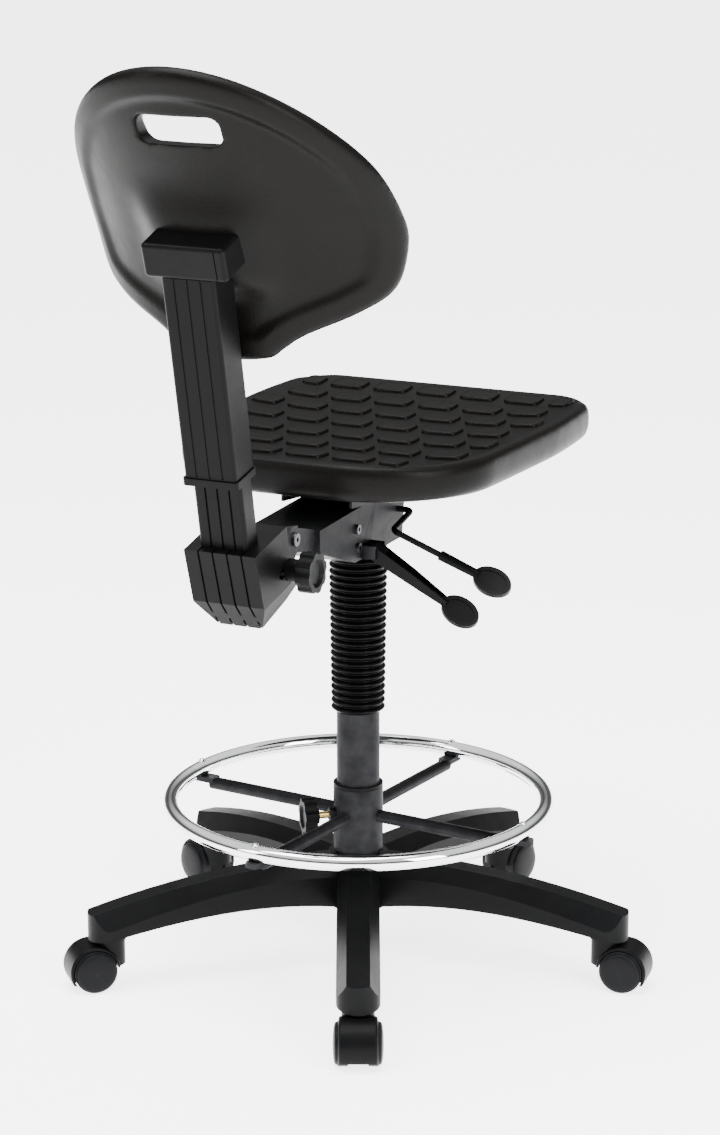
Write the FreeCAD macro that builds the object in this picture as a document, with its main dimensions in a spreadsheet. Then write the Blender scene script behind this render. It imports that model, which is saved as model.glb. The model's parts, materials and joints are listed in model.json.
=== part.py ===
"""A drafting chair: castered five-arm base, sliding foot ring, gas column, tilting seat and back.

Frame: +Z up, origin on the floor under the column axis. The sitter faces -Y, with their
right-hand side towards -X. All lengths are millimetres and all angles are degrees.
"""
import FreeCAD, Part
import Sketcher
import math
import os
from FreeCAD import Placement, Rotation, Vector

doc = FreeCAD.newDocument("DraftingChair")
sheet = doc.addObject("Spreadsheet::Sheet", "Sizes")

DRIVING_SIZES = [
    # fits
    ("clearance", 0.4, "gap between pieces that move past each other"),
    ("running", 0.08, "radial clearance of a shaft in its bore"),
    # star base
    ("base_yaw", 114.5, "direction of the first arm"),
    ("base_reach", 302.0, "column axis to caster stem"),
    ("arm_half_width", 24.5, "half of an arm's full width, and the radius of its tip"),
    ("arm_top_half_width", 13.0, "half of the flat along an arm's top"),
    ("arm_wall", 4.0, "wall left around the hollow underside"),
    ("arm_arch", 20.0, "rise of the arched underside"),
    ("arm_side_hub", 40.0, "height of an arm's vertical side at the hub"),
    ("arm_side_tip", 9.0, "height of an arm's vertical side at the tip"),
    ("base_top", 131.0, "top of the hub"),
    ("base_bottom", 58.0, "underside of the caster sockets"),
    ("hub_foot", 66.0, "underside of the hub"),
    ("arm_tip_top", 90.0, "top of an arm over its tip"),
    ("hub_radius", 33.0, "radius of the hub at its foot"),
    ("hub_neck_radius", 35.0, "radius of the hub at its top"),
    ("socket_radius", 20.0, "boss that holds a caster stem"),
    ("socket_depth", 34.0, "depth of the caster stem's hole"),
    # casters
    ("wheel_radius", 25.0, "caster wheel"),
    ("wheel_width", 17.0, "one wheel, over its domed face"),
    ("wheel_gap", 22.0, "between the two wheels of a caster"),
    ("wheel_tread", 11.5, "flat part of the tread"),
    ("wheel_face_radius", 23.6, "rim of the domed face"),
    ("axle_radius", 3.0, "caster axle"),
    ("axle_embed", 12.0, "length of axle inside each wheel"),
    ("caster_trail", 21.0, "stem axis to wheel axis"),
    ("hood_radius", 29.5, "outside of the hood over the wheels"),
    ("hood_width", 43.0, "hood across both wheels"),
    ("hood_gap", 1.4, "between the wheels and the hood"),
    ("hood_bottom", 11.0, "lowest edge of the hood, above the floor"),
    ("hood_skirt", 28.0, "lower end of the hood's straight inner side"),
    ("neck_radius", 18.3, "hood under the arm"),
    ("stem_radius", 5.5, "caster stem"),
    ("stem_foot", 37.0, "lower end of the stem, inside the hood"),
    # column
    ("column_radius", 25.0, "outer tube"),
    ("column_wall", 2.0, "outer tube"),
    ("column_foot", 70.0, "lower end of the outer tube"),
    ("column_floor", 6.0, "closed end of the outer tube"),
    ("column_top", 330.0, "upper end of the outer tube"),
    ("guide_length", 45.0, "plastic guide in the mouth of the outer tube"),
    ("bearing_height", 8.0, "thrust bearing under the piston rod"),
    ("cylinder_radius", 14.0, "sliding pressure tube"),
    ("cylinder_wall", 1.5, "sliding pressure tube"),
    ("cylinder_foot", 110.0, "lower end of the pressure tube"),
    ("cylinder_end", 10.0, "closed end of the pressure tube"),
    ("rod_radius", 5.0, "piston rod"),
    ("piston_top", 324.0, "top of the piston"),
    ("piston_height", 12.0, "piston"),
    ("shoulder_radius", 9.0, "rod's shoulder on the bearing"),
    ("clip_thickness", 3.0, "spring clip on the rod's end"),
    # bellows
    ("bellows_bottom", 305.0, "lower rim of the bellows"),
    ("bellows_gap", 1.5, "between the column and the bellows"),
    ("bellows_wall", 4.8, "bore to pleat crest at the lower rim"),
    ("bellows_spread", 3.0, "how much further out the crests are at the upper rim"),
    ("pleat_depth", 3.6, "crest to groove"),
    ("pleat_count", 25, "pleats"),
    # foot ring
    ("ring_yaw", -6.9, "direction of the first spoke"),
    ("ring_radius", 219.5, "centre line of the ring"),
    ("ring_tube_radius", 9.0, "ring's tube"),
    ("ring_wall", 1.6, "ring's tube"),
    ("ring_height", 195.0, "centre line of the ring above the floor"),
    ("spoke_radius", 7.5, "spoke's tube"),
    ("spoke_end_length", 34.0, "flattened end under the ring"),
    ("spoke_end_height", 6.0, "flattened end under the ring"),
    ("ring_hub_wall", 1.7, "hub that slides on the column"),
    ("ring_hub_bottom", 137.0, "lower end of the hub"),
    ("ring_hub_top", 212.0, "upper end of the hub"),
    ("ring_bush_wall", 1.8, "plastic lining of the hub"),
    ("ring_bush_lip", 4.0, "height of the lining's lip above the hub"),
    ("clamp_height", 178.0, "clamp knob's axis above the floor"),
    ("clamp_screw_radius", 4.0, "clamp screw"),
    ("clamp_boss_radius", 8.5, "threaded boss on the hub"),
    ("clamp_boss_length", 6.0, "boss, out from the hub"),
    ("clamp_knob_gap", 23.0, "hub to the knob's inner face"),
    ("clamp_knob_thickness", 15.0, "clamp knob"),
    ("clamp_knob_radius", 21.0, "clamp knob"),
    ("ring_screw_radius", 2.6, "screws that hold the ring down"),
    ("ring_screw_head", 5.0, "radius of a screw's head"),
    # mechanism
    ("housing_half_width", 40.0, "outside of the folded steel housing"),
    ("tongue_half_width", 33.0, "outside of the housing's rear tongues"),
    ("housing_wall", 3.0, "folded steel"),
    ("housing_front", -96.0, "front end of the housing"),
    ("housing_rear", 188.0, "rear end of the housing's box"),
    ("housing_bottom", 508.0, "underside over the column"),
    ("housing_top", 581.0, "top at the seat pivot"),
    ("housing_rear_top", 566.0, "top at the rear, clear of the tilting seat"),
    ("seat_pivot_y", -82.0, "seat's tilt axis"),
    ("seat_pivot_z", 568.0, "seat's tilt axis"),
    ("seat_pin_radius", 5.0, "seat's tilt pin"),
    ("back_pivot_y", 246.0, "back's tilt axis"),
    ("back_pivot_z", 570.0, "back's tilt axis"),
    ("back_bolt_radius", 5.0, "back's tilt bolt"),
    ("back_bolt_head", 7.5, "radius of the bolt's head"),
    ("housing_bolt_radius", 5.5, "heads of the bolts in the housing's side"),
    # seat
    ("seat_underside", 596.0, "underside of the seat pad"),
    ("seat_thickness", 44.0, "seat pad at its edge"),
    ("seat_front", -271.0, "front edge"),
    ("seat_rear", 181.0, "rear edge at the middle"),
    ("seat_front_half_width", 211.0, "widest half width, towards the front"),
    ("seat_rear_half_width", 193.0, "half width at the rear corners"),
    ("seat_corner_radius", 120.0, "plan radius of the rear corners"),
    ("seat_front_corner_radius", 85.0, "plan radius of the front corners"),
    ("seat_edge_radius", 15.0, "rounding of the edge"),
    ("plate_thickness", 3.0, "steel seat plate"),
    ("plate_half_width", 95.0, "steel seat plate"),
    ("plate_front", -108.0, "steel seat plate"),
    ("plate_rear", 112.0, "steel seat plate"),
    ("board_thickness", 10.0, "board moulded into the seat pad"),
    ("board_inset", 8.0, "board's edge inside the steel plate's"),
    ("seat_screw_radius", 3.0, "screws up into the board"),
    # back bracket and upright, in the frame that leans with the upright
    ("back_lean", 12.0, "upright's lean from the vertical"),
    ("ear_gap", 0.5, "between the bracket's ears and the housing's tongues"),
    ("ear_thickness", 3.0, "bracket's ears"),
    ("bar_width", 50.0, "flat bar"),
    ("bar_thickness", 5.0, "flat bar"),
    ("bar_leg_z", -19.6, "bar's lower leg from the tilt axis, along the upright"),
    ("bar_upright_y", 76.5, "bar's upright from the tilt axis, across the upright"),
    ("bar_bend", 22.0, "bar's bend, at its middle"),
    ("bar_top", 280.0, "top of the bar, along the upright"),
    ("bar_front", -6.0, "front end of the bar's lower leg"),
    ("boot_half_width", 42.0, "elbow cover"),
    ("boot_wall", 3.0, "elbow cover"),
    ("boot_top", 27.0, "top of the elbow cover"),
    ("boot_rear", 101.5, "rear face of the elbow cover"),
    ("boot_drop", 72.5, "lowest point of the elbow cover below the tilt axis"),
    ("boot_chamfer", 36.0, "cut across the lower rear edge and the lower sides"),
    ("boot_front", 24.0, "front edge of the elbow cover's sides"),
    ("groove_width", 2.4, "grooves of the ribbed covers"),
    ("groove_depth", 2.0, "grooves of the ribbed covers"),
    ("sleeve_wall", 3.0, "lower sleeve, beside the bar"),
    ("sleeve_front", 62.5, "lower sleeve"),
    ("sleeve_rear", 90.5, "lower sleeve"),
    ("sleeve_top", 165.0, "upper end of the lower sleeve, inside the upper sleeve"),
    ("slider_wall", 1.8, "upper sleeve"),
    ("slider_front", 59.6, "upper sleeve's inside, front"),
    ("slider_rear", 102.4, "upper sleeve's outside, rear"),
    ("slider_bottom", 104.0, "lower end of the upper sleeve"),
    ("slider_flare", 2.0, "how far the upper sleeve's lower rim stands out"),
    ("depth_knob_y", 33.0, "knob's axis from the tilt axis, across the upright"),
    ("depth_screw_radius", 4.0, "depth knob's screw"),
    ("depth_collar_radius", 12.5, "depth knob's collar"),
    ("depth_collar_length", 17.0, "depth knob's collar"),
    ("depth_knob_radius", 22.5, "depth knob's head"),
    ("depth_knob_thickness", 17.0, "depth knob's head"),
    ("depth_travel_in", 14.0, "how far the upright slides towards the seat"),
    # backrest
    ("cap_width", 94.0, "bracket block behind the backrest"),
    ("cap_height", 38.0, "bracket block"),
    ("cap_depth", 58.0, "bracket block, front face let into the backrest"),
    ("cap_lean", 18.0, "bracket block's lean from the vertical"),
    ("cap_y", 424.0, "middle of the bracket block's rear face"),
    ("cap_z", 893.0, "middle of the bracket block's rear face"),
    ("cap_edge", 5.0, "rounding of the bracket block"),
    ("back_top", 1089.0, "top edge of the backrest"),
    ("back_bottom", 776.0, "bottom edge of the backrest"),
    ("back_foot_y", 332.0, "rear face of the backrest at its bottom edge"),
    ("back_half_width", 186.0, "widest half width of the backrest"),
    ("back_wide_z", 932.0, "height where the backrest is widest"),
    ("back_foot_half_width", 47.0, "half width of the backrest's tongue"),
    ("back_wrap_radius", 215.0, "plan radius of the backrest's rear face"),
    ("back_thickness", 34.0, "backrest at its middle"),
    ("back_edge_thickness", 20.0, "backrest at its sides"),
    ("insert_half_width", 38.0, "steel plate moulded into the backrest"),
    ("insert_height", 60.0, "steel plate moulded into the backrest"),
    ("insert_thickness", 4.0, "steel plate moulded into the backrest"),
    ("slot_width", 94.0, "handle slot"),
    ("slot_height", 29.0, "handle slot"),
    ("slot_z", 1028.0, "middle of the handle slot"),
    ("slot_corner", 11.0, "handle slot's corner radius"),
    # levers
    ("lever_pivot_x", -51.0, "lift lever's hinge, on the sitter's right"),
    ("lever_y", 65.0, "lift lever"),
    ("lever_z", 516.0, "lift lever's hinge"),
    ("lever_droop", 28.0, "fall of the lift lever from the level"),
    ("lever_length", 119.0, "lift lever, hinge to the middle of its paddle"),
    ("lever_root_half_width", 11.0, "lift lever at its hinge"),
    ("lever_pin_radius", 3.0, "lift lever's hinge pin"),
    ("paddle_length", 46.0, "both paddles"),
    ("paddle_width", 33.0, "both paddles"),
    ("paddle_thickness", 7.0, "both paddles"),
    ("paddle_roll", 42.0, "turn of both paddles about their levers, towards the back"),
    ("lock_rod_radius", 3.5, "wire of the tilt lock lever"),
    ("lock_hinge_y", -20.0, "tilt lock lever's hinge in the housing's side"),
    ("lock_hinge_z", 544.0, "tilt lock lever's hinge in the housing's side"),
    ("lock_elbow_x", -60.0, "second bend of the tilt lock lever"),
    ("lock_elbow_y", 38.0, "second bend of the tilt lock lever"),
    ("lock_elbow_z", 534.0, "second bend of the tilt lock lever"),
    ("lock_droop", 21.0, "fall of the tilt lock lever from the level"),
    ("lock_length", 130.0, "tilt lock lever, second bend to the middle of its paddle"),
    ("lock_grip_length", 44.0, "moulded grip over the wire"),
]


class Size:
    """A length or angle that carries both its value and the sheet formula behind it."""

    def __init__(self, value, formula):
        self.value = float(value)
        self.formula = formula

    def __float__(self):
        return self.value

    def join(self, other, sign, value, swap=False):
        mine, theirs = self.formula, getattr(other, "formula", repr(other))
        first, second = (theirs, mine) if swap else (mine, theirs)
        return Size(value, "(" + first + " " + sign + " " + second + ")")

    def __add__(self, other):
        return self.join(other, "+", self.value + float(other))

    def __radd__(self, other):
        return self.join(other, "+", float(other) + self.value, swap=True)

    def __sub__(self, other):
        return self.join(other, "-", self.value - float(other))

    def __rsub__(self, other):
        return self.join(other, "-", float(other) - self.value, swap=True)

    def __mul__(self, other):
        return self.join(other, "*", self.value * float(other))

    def __rmul__(self, other):
        return self.join(other, "*", float(other) * self.value, swap=True)

    def __truediv__(self, other):
        return self.join(other, "/", self.value / float(other))

    def __neg__(self):
        return Size(-self.value, "(0 - " + self.formula + ")")


class SizeBook:
    """Every driving size by name, written into the sheet once."""

    def __init__(self):
        for row, (alias, value, meaning) in enumerate(DRIVING_SIZES, start=1):
            sheet.set("A%d" % row, alias)
            sheet.set("B%d" % row, str(value))
            sheet.setAlias("B%d" % row, alias)
            sheet.set("C%d" % row, meaning)
        doc.recompute()
        for alias, _, _ in DRIVING_SIZES:
            setattr(self, alias, Size(sheet.get(alias), "Sizes." + alias))


S = SizeBook()
X_AXIS, Y_AXIS, Z_AXIS = Vector(1, 0, 0), Vector(0, 1, 0), Vector(0, 0, 1)
ORIGIN = Vector(0, 0, 0)
sub_parts = []


# ---------------------------------------------------------------- building helpers

def keep(obj, label):
    """Register an object as a sub-part; its label names its file."""
    obj.Label = label
    sub_parts.append(obj)
    return obj


def bind(obj, **sizes):
    """Bind an object's properties to sheet formulas."""
    for name, size in sizes.items():
        obj.setExpression(name, size.formula)
    return obj


def move(obj, **places):
    """Bind the x, y or z of an object's Placement."""
    for name, size in places.items():
        obj.setExpression("Placement.Base." + name, size.formula)
    return obj


def cylinder(name, radius, height):
    """A bound cylinder; its owner sets where it stands."""
    return bind(doc.addObject("Part::Cylinder", name), Radius=radius, Height=height)


def box(name, low, high):
    """A bound box between two opposite corners."""
    spans = [upper - lower for lower, upper in zip(low, high)]
    block = bind(doc.addObject("Part::Box", name), Length=spans[0], Width=spans[1], Height=spans[2])
    return move(block, x=low[0], y=low[1], z=low[2])


def torus(name, radius, tube, **places):
    return move(bind(doc.addObject("Part::Torus", name), Radius1=radius, Radius2=tube), **places)


def cut(name, base, tool):
    result = doc.addObject("Part::Cut", name)
    result.Base = base
    result.Tool = tool
    return result


def fuse(name, shapes):
    result = doc.addObject("Part::MultiFuse", name)
    result.Shapes = shapes
    return result


def plane_of(body, role):
    return next(item for item in body.Origin.OriginFeatures if item.Role == role)


def outline_sketch(body, role, corners):
    """A closed outline of straight edges, each corner held by two sheet-bound distances."""
    sketch = body.newObject("Sketcher::SketchObject", body.Name + "Outline")
    sketch.AttachmentSupport = (plane_of(body, role), "")
    sketch.MapMode = "FlatFace"
    points = [Vector(float(across), float(up), 0) for across, up in corners]
    for start, end in zip(points, points[1:] + points[:1]):
        sketch.addGeometry(Part.LineSegment(start, end), False)
    count = len(points)
    for index in range(count):
        sketch.addConstraint(Sketcher.Constraint("Coincident", index, 2, (index + 1) % count, 1))
    for index, corner in enumerate(corners):
        for kind, size in (("DistanceX", corner[0]), ("DistanceY", corner[1])):
            number = sketch.addConstraint(Sketcher.Constraint(kind, -1, 1, index, 1, float(size)))
            if isinstance(size, Size):
                sketch.setExpression("Constraints[%d]" % number, size.formula)
    return sketch


def turned(label, corners):
    """A solid of revolution about Z from an outline of (radius, height) corners."""
    body = doc.addObject("PartDesign::Body", label + "_body")
    sketch = outline_sketch(body, "XZ_Plane", corners)
    turn = body.newObject("PartDesign::Revolution", label + "_turn")
    turn.Profile = sketch
    turn.ReferenceAxis = (sketch, ["V_Axis"])
    turn.Angle = 360
    body.Tip = turn
    return keep(body, label)


def free_form(label, shape, placement=None):
    """A sub-part that neither sketches nor primitives describe."""
    feature = doc.addObject("Part::Feature", label + "_shape")
    feature.Shape = shape
    if placement:
        feature.Placement = placement
    return keep(feature, label)


def polygon_face(points):
    return Part.Face(Part.makePolygon(points + points[:1]))


def side_prism(profile, half_width):
    """Solid between x = -half_width and x = +half_width over a closed (y, z) profile."""
    face = polygon_face([Vector(-half_width, across, up) for across, up in profile])
    return face.extrude(Vector(2 * half_width, 0, 0))


def slab(low, high):
    """A box between two opposite corners."""
    return Part.makeBox(high[0] - low[0], high[1] - low[1], high[2] - low[2], Vector(*low))


def rod(radius, start, end):
    return Part.makeCylinder(radius, (end - start).Length, start, end - start)


def rounded(shape, radius, chosen=lambda edge: True):
    return shape.makeFillet(radius, [edge for edge in shape.Edges if chosen(edge)])


def runs_along(edge, axis):
    if not isinstance(edge.Curve, (Part.Line, Part.LineSegment)):
        return False
    return abs(edge.tangentAt(edge.FirstParameter).dot(axis)) > 0.99


def bent_path(points, radius):
    """Straight runs through the points, joined by tangent arcs of one radius."""
    edges = []
    start = points[0]
    for before, corner, after in zip(points, points[1:], points[2:]):
        into = (corner - before).normalize()
        out = (after - corner).normalize()
        turn = math.acos(max(-1.0, min(1.0, into.dot(out))))
        setback = radius * math.tan(turn / 2)
        arc_start = corner - into * setback
        arc_end = corner + out * setback
        bisector = (out - into).normalize()
        middle = corner + bisector * (radius / math.cos(turn / 2) - radius)
        edges.append(Part.LineSegment(start, arc_start).toShape())
        edges.append(Part.Arc(arc_start, middle, arc_end).toShape())
        start = arc_end
    edges.append(Part.LineSegment(start, points[-1]).toShape())
    return Part.Wire(edges)


def pipe(path, radius):
    start = path.Edges[0]
    first = start.FirstParameter
    circle = Part.makeCircle(radius, start.valueAt(first), start.tangentAt(first))
    return path.makePipeShell([Part.Wire(circle)], True, True)


def knob_shape(radius, thickness, lobes, dip):
    """A lobed hand knob along +Z from the origin, its rim scalloped by round flutes."""
    blank = Part.makeCylinder(radius, thickness)
    flute_radius = radius * 0.42
    for index in range(lobes):
        angle = math.radians(360.0 * (index + 0.5) / lobes)
        centre = Vector(math.cos(angle), math.sin(angle), 0) * (radius + flute_radius - dip)
        blank = blank.cut(Part.makeCylinder(flute_radius, thickness, centre))
    dish = Part.makeCone(radius * 0.55, radius * 0.7, thickness * 0.2, Vector(0, 0, thickness * 0.8))
    return blank.cut(dish)


# ---------------------------------------------------------------- star base and casters

def arm_heights(share):
    """Underside, facet line and top of an arm, at a share of the way from hub to tip."""
    hub_low, tip_low = float(S.hub_foot), float(S.base_bottom)
    arch = float(S.arm_arch) * 4 * share * (1 - share) * (1 - 0.35 * share ** 2)
    low = hub_low + (tip_low - hub_low) * share + arch
    side = float(S.arm_side_hub) + (float(S.arm_side_tip) - float(S.arm_side_hub)) * share
    top = float(S.base_top) - (float(S.base_top) - float(S.arm_tip_top)) * share ** 2.2
    return low, low + side, top


def arm_loft(stations, inset):
    """Lofted six-sided arm; a positive inset shrinks it into the hollow of its underside."""
    tip = float(S.base_reach) + float(S.arm_half_width)
    wires = []
    for share in stations:
        low, facet, top = arm_heights(share)
        wide = float(S.arm_half_width) - inset
        narrow = float(S.arm_top_half_width) - inset * 0.6
        reach = share * tip
        if inset:
            low, facet, top = low - inset, facet - inset * 0.4, top - inset
        ring = [(-wide, low), (-wide, facet), (-narrow, top), (narrow, top), (wide, facet), (wide, low)]
        wires.append(Part.makePolygon([Vector(reach, across, up) for across, up in ring + ring[:1]]))
    return Part.makeLoft(wires, True, False)


def base_arm():
    """One arm along +X, its tip rounded in plan, with the caster socket's boss under it."""
    reach, half = float(S.base_reach), float(S.arm_half_width)
    arm = arm_loft([0.06, 0.25, 0.45, 0.65, 0.85, 1.02], 0)
    low, high = float(S.base_bottom) - 5, float(S.base_top) + 5
    plan = slab((0, -half - 1, low), (reach, half + 1, high))
    plan = plan.fuse(Part.makeCylinder(half, high - low, Vector(reach, 0, low)))
    arm = arm.common(plan)
    socket = Part.makeCylinder(float(S.socket_radius), high - low, Vector(reach, 0, low))
    arm = arm.cut(arm_loft([0.16, 0.35, 0.55, 0.72, 0.90], float(S.arm_wall)).cut(socket))
    return arm.fuse(Part.makeCylinder(float(S.socket_radius), float(S.arm_side_tip),
                                      Vector(reach, 0, float(S.base_bottom))))


def arm_angles():
    return [float(S.base_yaw) + 72.0 * index for index in range(5)]


def make_star_base():
    bottom, top = float(S.hub_foot), float(S.base_top)
    hub = Part.makeCone(float(S.hub_radius), float(S.hub_neck_radius), top - bottom, Vector(0, 0, bottom))
    arm = base_arm()
    arms = []
    for angle in arm_angles():
        turned_arm = arm.copy()
        turned_arm.rotate(ORIGIN, Z_AXIS, angle)
        arms.append(turned_arm)
    solid = hub.fuse(arms)
    tube_foot = float(S.column_foot)
    solid = solid.cut(Part.makeCylinder(float(S.column_radius), top - tube_foot, Vector(0, 0, tube_foot)))
    solid = solid.cut(Part.makeCylinder(float(S.column_radius) - 5, top, Vector(0, 0, bottom - 1)))
    hole_radius = float(S.stem_radius) + float(S.running)
    for angle in arm_angles():
        foot = Vector(float(S.base_reach), 0, float(S.base_bottom) - 1)
        place = Rotation(Z_AXIS, angle).multVec(foot)
        solid = solid.cut(Part.makeCylinder(hole_radius, float(S.socket_depth) - 5, place))
    return free_form("star_base", solid.removeSplitter())


def hood_shape():
    """Caster hood: stem axis at x = 0, wheel axis at the trail distance along +X."""
    trail, wheel = float(S.caster_trail), float(S.wheel_radius)
    half, neck = float(S.hood_width) / 2, float(S.neck_radius)
    outside, bottom = float(S.hood_radius), float(S.hood_bottom)
    top = float(S.base_bottom) - float(S.clearance)
    centre = Vector(trail, 0, wheel)
    canopy = rod(outside, centre - Y_AXIS * half, centre + Y_AXIS * half)
    canopy = rounded(canopy, 3.0)
    shape = canopy.fuse(Part.makeCylinder(neck, top - wheel, Vector(0, 0, wheel)))
    shape = shape.fuse(slab((0, -neck, wheel), (trail, neck, top - 7)))
    cavity = wheel + float(S.hood_gap)
    web = float(S.wheel_gap) / 2 - 1.0
    for side in (-1, 1):
        shape = shape.cut(rod(cavity, centre + Y_AXIS * web * side, centre + Y_AXIS * 40 * side))
    shape = shape.cut(slab((-60, -60, -5), (60, 60, bottom)))
    skirt = float(S.hood_skirt)
    shape = shape.cut(slab((-60, -60, -5), (trail - cavity + 6, 60, skirt)))
    shape = shape.cut(Part.makeCylinder(float(S.stem_radius), top, Vector(0, 0, float(S.stem_foot))))
    axle = float(S.axle_radius)
    return shape.cut(rod(axle, centre - Y_AXIS * 30, centre + Y_AXIS * 30)).removeSplitter()


def make_wheel(label, place):
    """One wheel: tread from its inner face outwards, domed outer face, blind axle hole."""
    bore, outer, face = S.axle_radius + S.running, S.wheel_radius, S.wheel_face_radius
    width, tread, lead = S.wheel_width, S.wheel_tread, 0.8
    crown = width - tread
    dome = [(face * share, tread + crown * rise) for share, rise in DOME]
    wheel = turned(label, [
        (bore, bore * 0), (outer - lead, bore * 0), (outer, bore * 0 + lead), (outer, tread - lead),
        (outer - lead, tread), (face, tread)] + dome + [
        (bore * 0, width), (bore * 0, S.axle_embed + 0.5), (bore, S.axle_embed + 0.5)])
    wheel.Placement = place


# The wheel's dome: shares of the face's radius and of the crown's height, rim inwards.
DOME = ((0.985, 0.4), (0.93, 0.6), (0.8, 0.76), (0.6, 0.89), (0.35, 0.97))


def make_casters():
    """Five casters, all trailing outwards, each a stem, hood, axle and two wheels."""
    hood = hood_shape()
    axle_length = S.wheel_gap + S.axle_embed * 2
    stem_length = S.base_bottom + S.socket_depth - 7 - S.stem_foot
    for number, angle in enumerate(arm_angles(), start=1):
        turn = Rotation(Z_AXIS, angle)
        stem_place = turn.multVec(Vector(float(S.base_reach), 0, 0))
        place = Placement(stem_place, turn)
        stem = cylinder("stem_%d" % number, S.stem_radius, stem_length)
        stem.Placement = place.multiply(Placement(Vector(0, 0, float(S.stem_foot)), Rotation()))
        keep(stem, "caster_%d_stem" % number)
        free_form("caster_%d_hood" % number, hood.copy(), place)
        axis = Vector(float(S.caster_trail), 0, float(S.wheel_radius))
        axle = cylinder("axle_%d" % number, S.axle_radius, axle_length)
        lying = Placement(axis - Y_AXIS * (float(axle_length) / 2), Rotation(X_AXIS, -90))
        axle.Placement = place.multiply(lying)
        keep(axle, "caster_%d_axle" % number)
        for side, name in ((1, "left"), (-1, "right")):
            seat = Placement(axis + Y_AXIS * side * float(S.wheel_gap) / 2, Rotation(X_AXIS, -90 * side))
            make_wheel("caster_%d_%s_wheel" % (number, name), place.multiply(seat))


# ---------------------------------------------------------------- column

def make_column():
    inner = S.column_radius - S.column_wall
    rod_hole = S.rod_radius + S.running
    floor_top = S.column_foot + S.column_floor
    turned("column_outer_tube", [
        (rod_hole, S.column_foot), (S.column_radius, S.column_foot), (S.column_radius, S.column_top),
        (inner, S.column_top), (inner, floor_top), (rod_hole, floor_top)])
    guide_bore = S.cylinder_radius + S.running
    lip_top = S.column_top + 3
    turned("column_guide_bush", [
        (guide_bore, S.column_top - S.guide_length), (inner, S.column_top - S.guide_length),
        (inner, S.column_top), (S.column_radius, S.column_top), (S.column_radius, lip_top),
        (guide_bore, lip_top)])
    turned("thrust_bearing", [
        (rod_hole, floor_top), (inner - 1, floor_top), (inner - 1, floor_top + S.bearing_height),
        (rod_hole, floor_top + S.bearing_height)])


def make_piston():
    shoulder = S.column_foot + S.column_floor + S.bearing_height + S.clearance
    piston_radius = S.cylinder_radius - S.cylinder_wall - S.clearance
    piston_foot = S.piston_top - S.piston_height
    groove = S.column_foot - S.clearance
    body = turned("piston_rod", [
        (S.running * 0, groove - S.clip_thickness - 2), (S.rod_radius, groove - S.clip_thickness - 2),
        (S.rod_radius, shoulder), (S.shoulder_radius, shoulder), (S.shoulder_radius, shoulder + 4),
        (S.rod_radius, shoulder + 4), (S.rod_radius, piston_foot), (piston_radius, piston_foot),
        (piston_radius, S.piston_top), (S.running * 0, S.piston_top)])
    turned("retaining_clip", [
        (S.rod_radius, groove - S.clip_thickness), (S.rod_radius + 5, groove - S.clip_thickness),
        (S.rod_radius + 5, groove), (S.rod_radius, groove)])
    return body


def make_pressure_tube():
    """Sliding tube of the gas spring, closed at the foot around the rod and at the top."""
    inner = S.cylinder_radius - S.cylinder_wall
    rod_hole = S.rod_radius + S.running
    foot_top = S.cylinder_foot + S.cylinder_end
    top = S.housing_bottom + 40
    turned("pressure_tube", [
        (rod_hole, S.cylinder_foot), (S.cylinder_radius, S.cylinder_foot), (S.cylinder_radius, top),
        (S.running * 0, top), (S.running * 0, top - 12), (inner, top - 12), (inner, foot_top),
        (rod_hole, foot_top)])


def make_bellows():
    """Pleated sleeve from the column's mouth to the mechanism, slightly wider at the top."""
    bottom = float(S.bellows_bottom)
    top = float(S.housing_bottom)
    count = int(float(S.pleat_count))
    pitch = (top - bottom) / count
    bore = float(S.column_radius) + float(S.bellows_gap)

    def crest(height):
        share = (height - bottom) / (top - bottom)
        return bore + float(S.bellows_wall) + float(S.bellows_spread) * share

    corners = [(bore, bottom)]
    for index in range(count):
        low = bottom + index * pitch
        corners.append((crest(low) - float(S.pleat_depth), low))
        corners.append((crest(low + pitch / 2), low + pitch / 2))
    corners.append((crest(top) - float(S.pleat_depth), top))
    corners.append((bore, top))
    face = polygon_face([Vector(radius, 0, height) for radius, height in corners])
    free_form("bellows", face.revolve(ORIGIN, Z_AXIS, 360))


# ---------------------------------------------------------------- foot ring

def ring_hub_bore():
    return S.column_radius + S.clearance + S.ring_bush_wall + S.running


def ring_hub_radius():
    return ring_hub_bore() + S.ring_hub_wall


def make_ring_hub():
    lining_inner = S.column_radius + S.clearance
    lining_outer = lining_inner + S.ring_bush_wall
    bore, outside = ring_hub_bore(), ring_hub_radius()
    lip_low = S.ring_hub_top + S.clearance
    turned("ring_bush", [
        (lining_inner, S.ring_hub_bottom), (lining_outer, S.ring_hub_bottom), (lining_outer, lip_low),
        (outside, lip_low), (outside, lip_low + S.ring_bush_lip),
        (lining_inner, lip_low + S.ring_bush_lip)])
    height = float(S.ring_hub_top) - float(S.ring_hub_bottom)
    foot = Vector(0, 0, float(S.ring_hub_bottom))
    hub = Part.makeCylinder(float(outside), height, foot)
    axis = Rotation(Z_AXIS, float(S.ring_yaw) + 45).multVec(X_AXIS)
    level = Vector(0, 0, float(S.clamp_height))
    reach = float(outside) + float(S.clamp_boss_length)
    boss = rod(float(S.clamp_boss_radius), level, level + axis * reach)
    hub = hub.fuse(boss).cut(Part.makeCylinder(float(bore), height, foot))
    screw = float(S.clamp_screw_radius) + float(S.running)
    hub = hub.cut(rod(screw, level, level + axis * (reach + 20)))
    free_form("ring_hub", hub.removeSplitter())


def spoke_directions():
    return [Rotation(Z_AXIS, float(S.ring_yaw) + 90.0 * index).multVec(X_AXIS) for index in range(4)]


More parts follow.
